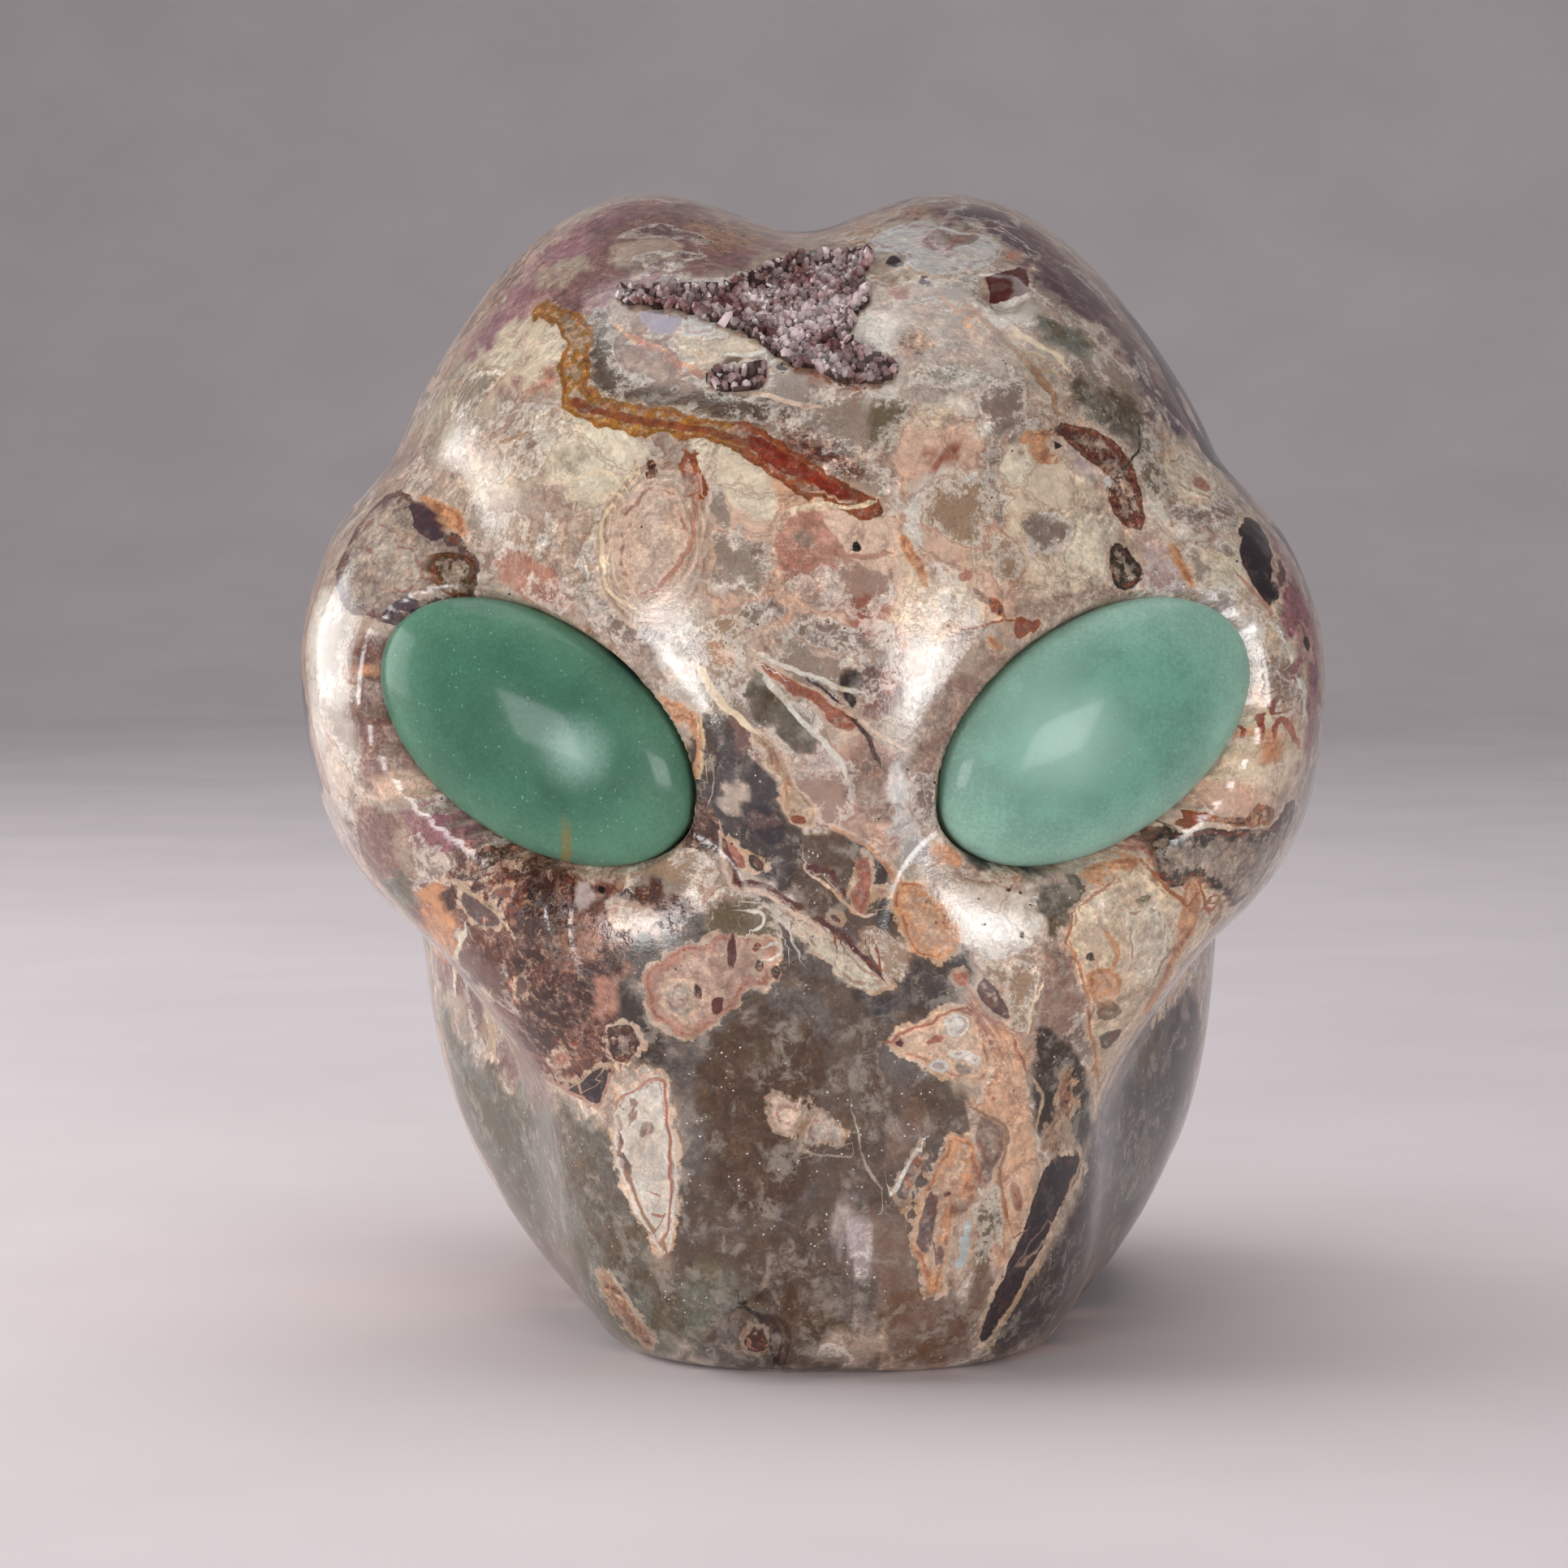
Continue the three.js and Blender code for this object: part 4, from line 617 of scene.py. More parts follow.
# Thin lines: tint, half width and path
VEINS = [
    ("brown tan", 0.28, "15.2,39.2 16.6,38 18.4,36.2 20,34.6 21.4,33 22.3,31.8 22.3,30.8"),
    ("orange", 0.15, "13.4,39.6 14.4,38.8 15,37.6"),
    ("warm cream", 0.18, "18.6,37.4 21,36 22.6,35.2 23,34.6"),
    ("dark quartz", 0.1, "29.2,28.8 29.2,27.4 28.4,26.4 27.8,25.8"),
    ("orange", 0.14, "-13.6,37.6 -12.4,36.4 -10.8,36 -9.6,35.2 -8,34.4 -6.4,33.9"),
    ("salmon red", 0.35, "-13,36.8 -11.4,36.2 -9.8,35.4 -8.2,34.2 -6.6,33.6 -5,32.8"),
    ("white", 0.14, "-6.2,33.7 -4.6,33 -2.4,32.8 -2,33.8 -1,34.8 -0.4,34.9"),
    ("white", 0.16, "-4,35.2 -2,35.4 -0.4,36.2"),
    ("pink cream", 0.2, "-4,32.2 -1.6,32 0,31.6 2,31"),
    ("rust", 0.3, "-15.6,30.8 -12,29.9 -8.6,29.4 -5,28.7 -2.6,28"),
    ("red", 0.5, "-2.8,28.1 0,26.7 2.4,25.2 5,23.6"),
    ("warm cream", 0.14, "-12.2,25.6 -14.6,22.6 -15.2,19 -14.4,15.6 -12.6,14.6"),
    ("pink cream", 0.12, "-11,25 -13.6,22.4 -14.4,19 -13.8,16.4 -12.2,15.4"),
    ("pink cream", 0.13, "-6,25 -6.4,21 -7.4,17.6 -9.6,15.2 -11.6,14.4"),
    ("salmon", 0.2, "-7,25.6 -7.4,21 -8.4,18 -10,16.2 -11.8,15.6"),
    ("warm cream", 0.15, "-12,25.4 -15,25.6 -16.4,25.4"),
    ("salmon", 0.2, "0.6,22 2.4,22.6 3.4,21 4.6,19.4 5,18"),
    ("salmon", 0.22, "5.4,18.6 7,18.7 8.2,18.9"),
    ("warm cream", 0.18, "0.6,22.4 2.8,23.2 5,22.6 7,23.2"),
    ("rust", 0.12, "15,12.6 16.6,13 18,13.5 18.8,13.5"),
    ("red", 0.3, "37.2,6.8 38,7.3 39.2,7.2 39.7,6.2 39,5.4 39.2,4.6"),
    ("salmon red", 0.3, "40.4,5.6 41.4,5.2 41.6,4.4 42,3.8"),
    ("white", 0.12, "38,12 40,13.6 41.2,12 41.6,10 42.6,8 42.8,5.6"),
    ("salmon", 0.12, "37.6,17 38.6,15.6 40,14"),
    ("grey blob", 0.1, "37.6,10.4 39.6,10.4 41,9"),
    ("mauve", 0.12, "37.6,9.2 39.4,9.2 40.8,7.8"),
    ("mauve", 0.12, "37.8,8.3 39.8,8.2 41.4,6.8"),
    ("warm cream", 0.3, "-7,9.4 -6,7.6 -4,5.8 -2.6,4.6"),
    ("white", 0.22, "-1.6,8.8 0,7 1.6,4.8 3.4,3.4 4.4,1.6 5,0.8"),
    ("white", 0.2, "-2,10.6 0.6,9.4 3,8.8 4.6,7.8 6,7.4"),
    ("dark plum", 0.12, "2,8.6 3.4,7.8 4.4,7"),
    ("dark brown", 0.22, "5.6,5.2 6.8,4.2 7.2,3 7.6,2.2"),
    ("pink cream", 0.16, "6.4,5.2 8,4 9.6,3.2 10.2,2.8"),
    ("orange", 0.22, "4.2,-3.7 5.6,-4.4 7,-5.2 8.2,-6.4 9.2,-7.8 9.6,-9"),
    ("pink cream", 0.2, "3.8,-3.5 5.4,-4.1 7.2,-5 8.6,-6.4 9.6,-7.6"),
    ("dark red", 0.22, "-4.9,-4.6 -4.7,-5.8 -4,-7 -4.2,-8.2 -2.6,-8.1 -1,-8.6 0.6,-9.4 1.8,-10.4 3.2,-11.5"
        " 4.8,-12.2 6,-13.4 7,-15 7.8,-15.8"),
    ("pink cream", 0.16, "-5.2,-4 -5,-6.6 -4.4,-8.6 -2.4,-8.8 -0.6,-9.6 1.2,-10.8 3,-12"),
    ("dark red", 0.18, "2,-6.6 3,-7 3.8,-7.4 4.6,-8.4 5,-9.4"),
    ("pink cream", 0.14, "1.6,-6.4 1.8,-7.2 3,-7.8 4,-8.8 4.8,-9.8 6.4,-11 7.2,-10.6"),
    ("rust", 0.12, "7.6,-13.6 8,-15.4"),
    ("rust", 0.1, "4.2,-12.2 4.3,-13.4"),
    ("white", 0.08, "0.4,-11.6 0.8,-13 1.2,-14"),
    ("white", 0.12, "-3,-10.4 -1.8,-10.6 -1.7,-11.6 -2.4,-12"),
    ("white", 0.1, "-1.4,-13.2 -0.3,-13 -0.2,-14 -1.2,-14.4"),
    ("salmon red", 0.12, "-9.8,-24.4 -9.7,-27 -9.4,-30 -9.3,-33 -9.5,-36.4 -9.8,-38.2"),
    ("brown tan", 0.14, "-13.7,-30.2 -13,-32.2 -11.8,-34.8 -10.4,-37.4 -9.9,-38.4"),
    ("plum", 0.14, "-13.4,-29.2 -13.2,-30.6 -12.6,-31.8"),
    ("salmon", 0.12, "-13.8,-26.4 -13.4,-25.6 -12.4,-25.3 -11.4,-24.4 -10.2,-24.1"),
    ("salmon", 0.1, "-19.6,-24 -17,-25.6 -14.9,-26.8 -14.2,-23"),
    ("tan", 0.18, "-26.6,-8.4 -24.6,-9.6 -23.4,-10.8 -22.6,-12"),
    ("tan", 0.1, "-19.4,-23.8 -17,-24.8 -16,-23.6 -14.4,-22.8"),
    ("grey blob", 0.09, "6.3,-30.4 6.8,-31.6 7.4,-32.6 8,-33.2"),
    ("grey cloud", 0.12, "6.6,-30.8 7.2,-32 7.9,-32.9"),
    ("grey cloud", 0.06, "5.7,-26.6 5.9,-28 6.2,-30"),
    ("grey cloud", 0.06, "2.6,-30.4 4.4,-30.6 6,-30.6"),
    ("white", 0.14, "11,-30.1 10.2,-31.2 9.4,-32.6 8.7,-34"),
    ("salmon red", 0.12, "8.6,-21 10,-20.3 12,-19.6 14.4,-18.5"),
    ("salmon red", 0.1, "15,-18.3 16.2,-19.6 16.8,-21.4"),
    ("salmon", 0.14, "15.2,-18.2 16.4,-19.6 17.4,-21.4 18,-22.6"),
    ("salmon red", 0.14, "19,-21.2 19.6,-22.8 20,-24"),
    ("brown tan", 0.12, "16,-26.7 17.4,-27.4 18.6,-28.8 18.6,-29.8 17.8,-31.4 17.6,-33.4 18.2,-35.6"),
    ("deep orange", 0.12, "17.6,-32 17.9,-34 18.4,-36"),
    ("salmon", 0.1, "15,-16.4 16,-18.4 17.2,-19.6 18.6,-20.2 19.9,-20.6"),
    ("warm cream", 0.1, "19.9,-20.6 20.4,-18.6 21.2,-16.6"),
    ("tan", 0.1, "20.4,-24 20.9,-24.6 21.2,-26.2 21,-27.4"),
    ("tan", 0.1, "20.5,-28.4 21,-29 20.6,-30"),
    ("mauve brown", 0.05, "23,-34.2 21.6,-36 20.2,-37.8 18.8,-39.8"),
    ("tan", 0.1, "24.6,-30.6 23.2,-34 22,-36.6 21.6,-38.6 20.4,-40.4 18.6,-43.4 16.8,-46.4"),
    ("salmon red", 0.12, "23.7,-10.8 23.5,-12.2 23.2,-13"),
    ("orange", 0.14, "23.6,-13.6 24.4,-15 24.9,-17 25.1,-19.4 25.4,-22"),
    ("salmon red", 0.1, "23.9,-14.4 24.7,-16.2 25,-18.4 25.2,-20"),
    ("orange", 0.16, "25.3,-21 25.6,-23 25.8,-25"),
    ("deep orange", 0.16, "29.6,-6.6 30.8,-7.8 32,-9 33,-9.9"),
    ("deep orange", 0.12, "34.3,-8.2 34.7,-9.4 34.9,-10.8"),
    ("brown tan", 0.2, "35.6,-9.6 36,-10.4 35.2,-11.4"),
    ("orange", 0.2, "26.4,-12.4 27.4,-13.4 27.2,-14.8 26.4,-15.6"),
    ("peach", 0.2, "26.4,-15.6 27.4,-16.4 27,-17.4 26,-17.8"),
    ("salmon", 0.12, "24.6,-9.6 25.6,-9.2 26.6,-8.2"),
    ("brown tan", 0.1, "-23.6,27.9 -22.4,28.4 -21.4,28.6"),
    ("yellow cream", 0.16, "-26.2,-12 -27,-14.4 -27,-16.4"),
    ("tan", 0.2, "-25,-17 -24,-19.4 -23.8,-22"),
    ("dark brown", 0.1, "-17.4,-8 -17.4,-10 -18,-11.8"),
    ("orange", 0.16, "-7.4,4.6 -7,3.4 -7.1,2 -7.4,0.8 -7.7,0"),
    ("warm cream", 0.14, "-6.8,5 -6.6,3.6 -6.8,2 -7,0.8"),
    ("grey cloud", 0.05, "-6,2 -5.8,0.4 -6,-1.6"),
    ("grey cloud", 0.06, "11.4,0.6 11.6,-1.2 11.9,-3"),
    ("black", 0.16, "-3.4,-42.6 -2.6,-43.4 -1.6,-43.8 -1.9,-45 -1,-46 -0.8,-47.4"),
    ("dark brown", 0.22, "-1.6,-43.8 -0.6,-43.6 0,-44.4 0.4,-45.6 0.2,-47"),
]

def turned(yaw=0.0, pitch=0.0, roll=0.0):
    """Rotation matrix of a roll about Y, then a pitch about X, then a yaw about Z, in degrees."""
    y, p, r = (math.radians(a) for a in (yaw, pitch, roll))
    about_z = np.array([[math.cos(y), -math.sin(y), 0], [math.sin(y), math.cos(y), 0], [0, 0, 1]])
    about_x = np.array([[1, 0, 0], [0, math.cos(p), -math.sin(p)], [0, math.sin(p), math.cos(p)]])
    about_y = np.array([[math.cos(r), 0, math.sin(r)], [0, 1, 0], [-math.sin(r), 0, math.cos(r)]])
    return about_z @ about_x @ about_y


def smooth_step(low, high, x):
    """0 below low, 1 above high, and a smooth climb between them."""
    t = np.clip((x - low) / (high - low), 0, 1)
    return t * t * (3 - 2 * t)


def lump_distance(points, at, half, yaw=0, pitch=0, roll=0, square=2.0, paired=False):
    """Near enough the distance to a superellipsoid: k^(n-1)(k-1) over the slope of k, k the scaled radius."""
    p = points - np.array([0.0, at[1], at[2]])
    x = np.hypot(points[:, 0], MIRROR_SOFTNESS) if paired else points[:, 0]
    p[:, 0] = x - at[0]
    q = np.abs(p @ turned(yaw, pitch, roll))
    half = np.array(half, float)
    k = ((q / half) ** square).sum(1) ** (1 / square)
    slope = np.sqrt(((q ** (square - 1) / half**square) ** 2).sum(1)) + 1e-12
    return k ** (square - 1) * (k - 1) / slope


def melt(a, b, width):
    """Joins two forms with a fillet: the smaller distance, less a parabola where the two are close."""
    h = np.clip(0.5 + 0.5 * (b - a) / width, 0, 1)
    return b + (a - b) * h - width * h * (1 - h)


def carve(a, b, width):
    """Keeps what is inside both forms, with a rounded edge where they meet."""
    return -melt(-a, -b, width)


def upright(points):
    """Takes out the carving's slight lean, which moves every level sideways by a share of its height."""
    p = points.copy()
    p[:, 0] -= LEAN_AT_BASE - LEAN_PER_MM * p[:, 2]
    return p


def skull_form(points):
    """Signed distance to the stone: melted lumps less the groove, the sockets, the domes and the base."""
    p = upright(points)
    lump = {name: lump_distance(p, **spec) for name, spec in LUMPS.items()}
    d = melt(lump["cranium"], lump["rear"], 8)
    d = melt(d, lump["lobe"], 4)
    d = melt(d, lump["brow"], 8)
    d = melt(d, melt(lump["face"], lump["chin"], 6), 8)
    d = melt(d, melt(lump["flare"], lump["ridge"], 6), 3)
    d = melt(d, lump["cheekbone"], 6)
    # the groove starts lower down towards the nape
    high = smooth_step(GROOVE_FROM, GROOVE_WHOLE, p[:, 2] + 0.35 * np.clip(p[:, 1] - 10, 0, 60))
    d += GROOVE_DEPTH * np.exp(-((p[:, 0] / GROOVE_WIDTH) ** 2)) * high
    d = carve(d, -lump["socket"], SOCKET_RIM)
    for middle, facing, depth, reach in FLATS:
        off = points - np.array(middle)
        away = np.linalg.norm(off, axis=1)
        rise = np.minimum(away, FLAT_FADE * reach) ** 2 / (2 * FLAT_RADIUS)
        rise -= FLAT_LIFT * smooth_step(reach, FLAT_FADE * reach, away)
        d = carve(d, off @ np.array(facing) + depth + rise, FLAT_EDGE)
    return carve(d, -p[:, 2], BASE_EDGE)


def box_grid(counts):
    """A closed box of quads: whole-number places on the faces of a box, shared along its edges."""
    places, quads, start = [], [], 0
    for axis in range(3):
        across, along = (axis + 1) % 3, (axis + 2) % 3
        i, j = np.meshgrid(np.arange(counts[across] + 1), np.arange(counts[along] + 1), indexing="ij")
        number = np.arange(i.size).reshape(i.shape)
        ring = [number[:-1, :-1], number[1:, :-1], number[1:, 1:], number[:-1, 1:]]
        for side in (0, 1):
            place = np.zeros((i.size, 3), int)
            place[:, axis] = side * counts[axis]
            place[:, across] = i.ravel()
            place[:, along] = j.ravel()
            order = ring if side else ring[::-1]
            places.append(place)
            quads.append(np.stack([c.ravel() for c in order], 1) + start)
            start += i.size
    unique, back = np.unique(np.concatenate(places), axis=0, return_inverse=True)
    return unique / np.array(counts) * 2 - 1, back.ravel()[np.concatenate(quads)]


def bisect(form, start, way, near, far, steps):
    """Halves the stretch between an inner and an outer reach along each ray until it meets the surface."""
    for _ in range(steps):
        middle = (near + far) / 2
        inside = form(start + way * middle[:, None]) < 0
        near = np.where(inside, middle, near)
        far = np.where(inside, far, middle)
    return (near + far) / 2


def vertex_normals(points, quads):
    """Unit normals: the cross products of each quad's diagonals, summed at its corners."""
    a, b, c, d = (points[quads[:, i]] for i in range(4))
    face = np.cross(c - a, d - b)
    total = np.zeros_like(points)
    for i in range(4):
        for k in range(3):
            total[:, k] += np.bincount(quads[:, i], face[:, k], len(points))
    return total / (np.linalg.norm(total, axis=1, keepdims=True) + 1e-12)


def outline_distance(places, outline):
    """Signed distance to a closed outline in its plane: below zero inside, found edge by edge."""
    best = np.full(len(places), 1e9)
    inside = np.zeros(len(places), bool)
    points = np.array(outline, float)
    for a, b in zip(points, np.roll(points, -1, 0)):
        way = b - a
        off = places - a
        t = np.clip(off @ way / (way @ way + 1e-12), 0, 1)
        best = np.minimum(best, np.hypot(*(off - t[:, None] * way).T))
        crosses = (a[1] > places[:, 1]) != (b[1] > places[:, 1])
        reach = a[0] + (places[:, 1] - a[1]) * way[0] / (way[1] if abs(way[1]) > 1e-12 else 1e-12)
        inside ^= crosses & (places[:, 0] < reach)
    return np.where(inside, -best, best)


def outline_points(outline):
    """Points of an outline or a path: text with across,up pairs in millimetres, or an array as it is."""
    if isinstance(outline, str):
        outline = [pair.split(",") for pair in outline.split()]
    return np.array(outline, float)


def rounded(outline, rounds=2):
    """Cuts every corner at a quarter and three quarters of its sides, twice, so an outline turns smoothly."""
    points = outline_points(outline)
    for _ in range(rounds):
        after = np.roll(points, -1, 0)
        points = np.stack([0.75 * points + 0.25 * after, 0.25 * points + 0.75 * after], 1).reshape(-1, 2)
    return points


def ripple(points, size, seed):
    """Smooth noise from -1 to 1: a sum of sines along random directions with waves about one size long."""
    draw = np.random.default_rng(seed)
    ways = draw.normal(size=(9, points.shape[1]))
    ways /= np.linalg.norm(ways, axis=1, keepdims=True)
    waves = 2 * math.pi / (size * draw.uniform(0.7, 1.8, 9))
    total = np.zeros(len(points))
    for way, wave in zip(ways, waves):
        total += np.sin(points @ way * wave + draw.uniform(0, 2 * math.pi))
    return total / 4.5


def crumple(points, size, seed):
    """Rougher noise: four ripples, each half the size and a little over half the strength of the last."""
    return sum(0.55**i * ripple(points, size / 2**i, seed + i) for i in range(4)) / 1.6


def eye_axes(side):
    """Columns: along the eye, towards the back of the stone, and across the eye; mirrored for -X."""
    return turned(side * EYE_YAW, 0, side * EYE_SLANT)


def eye_centre(side):
    """The middle of an eye's back edge, moved sideways by the carving's lean."""
    lean = LEAN_AT_BASE - LEAN_PER_MM * EYE_AT[2]
    return np.array([side * EYE_AT[0] + lean, EYE_AT[1], EYE_AT[2]])


def pocket_axes():
    """Columns: to the right, up the crown, and out of the crown."""
    return turned(0, 90 - POCKET_PITCH, 0)


def in_pocket(local):
    """Signed distance to the pocket and its side pocket, in their plane."""
    main = outline_distance(local, rounded(POCKET_OUTLINE, 1))
    return np.minimum(main, outline_distance(local, rounded(SIDE_POCKET_OUTLINE, 1)))


def pocket_depth(local):
    """How far the pockets sink the crown: nothing outside their ragged outlines, all of it well inside."""
    return POCKET_DEPTH * smooth_step(0.3, -1.2, in_pocket(local) + 0.45 * crumple(local, 2.2, 5))


def hollow_depth(points, eye_size):
    """How far the surface is sunk: the pocket and its side pocket, the seats under the eyes, and the pits."""
    local = (points - np.array(POCKET_AT)) @ pocket_axes()
    depth = pocket_depth(local[:, :2]) * (np.abs(local[:, 2]) < POCKET_NEAR)
    for side in (1, -1):
        q = (points - eye_centre(side)) @ eye_axes(side)
        oval = np.hypot(q[:, 0] / (eye_size[0] / 2 + SEAT_GAP), q[:, 2] / (eye_size[1] / 2 + SEAT_GAP))
        sunk = np.clip(EYE_BACK - q[:, 1], 0, 8) * (np.abs(q[:, 1]) < 12)
        depth = np.maximum(depth, sunk * smooth_step(1.02, 0.96, oval))
    for centre, radius, deep in PITS:
        away = np.linalg.norm(points - np.array(centre), axis=1) / radius
        away += 0.35 * ripple(points, radius * 1.3, 11)
        depth = np.maximum(depth, deep * smooth_step(1.05, 0.5, away))
    return depth


def make_skull_surface(eye_size):
    """Blows the box grid out to the carved form, then sinks it by the hollows and a faint ripple."""
    grid, quads = box_grid(GRID)
    start = np.zeros_like(grid)
    start[:, 1] = CORE_Y + CORE_REACH * grid[:, 1]
    start[:, 2] = CORE_Z
    way = np.tan(grid * math.pi / 4)
    way /= np.linalg.norm(way, axis=1, keepdims=True)
    reach = bisect(skull_form, start, way, np.zeros(len(grid)), np.full(len(grid), BLOW_REACH), 22)
    skin = start + way * reach[:, None]
    off_base = skin[:, 2] > RIPPLE_FROM
    sink = hollow_depth(skin, eye_size) + RIPPLE_HEIGHT * ripple(skin, RIPPLE_SIZE, 3) * off_base
    sunk = bisect(lambda p: skull_form(p) + sink, start, way, reach - 9, reach + 0.5, 16)
    return start + way * sunk[:, None], quads

def linear(code):
    """A swatch's hex code as linear light."""
    value = np.array([int(code[i : i + 2], 16) for i in (0, 2, 4)]) / 255
    return np.where(value <= 0.04045, value / 12.92, ((value + 0.055) / 1.055) ** 2.4)


def face_chart(points, normals):
    """Across and up where each point's sight line crosses the marking plane, and how squarely it is seen."""
    tilt = math.radians(VIEW_ELEVATION)
    back = np.array([0, -math.cos(tilt), math.sin(tilt)])
    up = np.array([0, math.sin(tilt), math.cos(tilt)])
    ray = points - (np.array(VIEW_AIM) + VIEW_DISTANCE * back)
    scale = MARKING_DISTANCE / (ray @ -back)
    facing = -(ray * normals).sum(1) / np.linalg.norm(ray, axis=1)
    return np.stack([ray[:, 0] * scale, (ray @ up) * scale], 1), facing


def line_distance(places, path):
    """Signed distance to an open path: its size is the distance, its sign the side of the nearest stretch."""
    best = np.full(len(places), 1e9)
    side = np.ones(len(places))
    for a, b in zip(path[:-1], path[1:]):
        way = b - a
        off = places - a
        t = np.clip(off @ way / (way @ way + 1e-12), 0, 1)
        away = np.hypot(*(off - t[:, None] * way).T)
        turn = np.sign(way[0] * off[:, 1] - way[1] * off[:, 0])
        side = np.where(away < best, turn, side)
        best = np.minimum(best, away)
    return best * np.where(side == 0, 1, side)


def softened(path, rounds=2):
    """Cuts the corners of an open path as rounded does, and keeps its ends."""
    points = outline_points(path)
    for _ in range(rounds):
        low, high = points[:-1], points[1:]
        cut = np.stack([0.75 * low + 0.25 * high, 0.25 * low + 0.75 * high], 1).reshape(-1, 2)
        points = np.concatenate([points[:1], cut, points[-1:]])
    return points


def close_to(places, outline, margin):
    """Numbers of the places within a margin of an outline's box."""
    low, high = outline.min(0) - margin, outline.max(0) + margin
    return np.flatnonzero(((places > low) & (places < high)).all(1))


class Layer:
    """One coat of markings: a tint, a look and a signed distance for every point."""

    def __init__(self, count):
        self.tint = np.zeros((count, 3))
        self.look = np.zeros((count, 4))
        self.edge = np.full(count, FAR_FROM_EDGE)
        self.rim = np.zeros(count)

    def lay(self, chosen, distance, tint, rim=0.0):
        """Takes over the chosen points that lie nearer to this marking's middle than to an earlier one's."""
        nearer = distance < self.edge[chosen]
        which = chosen[nearer]
        self.edge[which] = distance[nearer]
        self.tint[which] = linear(TINTS[tint][0])
        self.look[which] = LOOKS[TINTS[tint][1]][:4]
        self.rim[which] = rim

    def attributes(self, name):
        """Colour attributes: the tint with the distance as alpha, and the look with the rim as alpha."""
        edge = np.clip(0.5 + self.edge / EDGE_SPAN, 0, 1)
        look = np.concatenate([self.look[:, [0, 1, 3]], self.rim[:, None]], 1)
        return {name: np.concatenate([self.tint, edge[:, None]], 1), name + "_look": look}


def solid_ground(points):
    """Grounds for the sides, back and top: ripples through the stone choose between neighbouring tints."""
    tints = np.array([linear(TINTS[name][0]) for name in RIPPLE_TINTS])
    looks = np.array([LOOKS[TINTS[name][1]] for name in RIPPLE_TINTS])
    level = 0.5 + 0.55 * crumple(points, 34.0, 41) + 0.22 * crumple(points, 7.0, 47)
    # the muzzle's clear quartz runs on round the lower part of the stone
    level -= 0.45 * smooth_step(34, 12, points[:, 2])
    level = np.clip(level, 0, 1) * (len(tints) - 1)
    low = np.minimum(level.astype(int), len(tints) - 2)
    t = smooth_step(0.35, 0.65, level - low)[:, None]
    return tints[low] * (1 - t) + tints[low + 1] * t, looks[low] * (1 - t) + looks[low + 1] * t


def scatter_shards(points, face, layer, count, sizes, seed):
    """Broken pieces inside the stone where the face chart ends: each is the overlap of seven half spaces."""
    draw = np.random.default_rng(seed)
    chance = np.clip(1 - face, 0, 1) ** 2
    middles = draw.choice(len(points), count, p=chance / chance.sum())
    for middle in middles:
        size = draw.uniform(*sizes) * draw.uniform(0.6, 1)
        stretch = draw.uniform(0.5, 1.5, 3)
        ways = draw.normal(size=(7, 3))
        ways /= np.linalg.norm(ways, axis=1, keepdims=True)
        reach = size * draw.uniform(0.5, 1.0, 7)
        tint = SHARD_TINTS[draw.integers(len(SHARD_TINTS))]
        off = points - points[middle]
        near = np.flatnonzero((off * off).sum(1) < (size * 2.6) ** 2)
        local = off[near] * stretch
        distance = (local @ ways.T - reach).max(1) / stretch.mean()
        distance += 0.25 * size**0.5 * crumple(points[near], 2.4, 60 + int(middle) % 5)
        layer.lay(near, distance + SHARD_DRAW_IN * face[near], tint, rim=draw.uniform(0, 1))


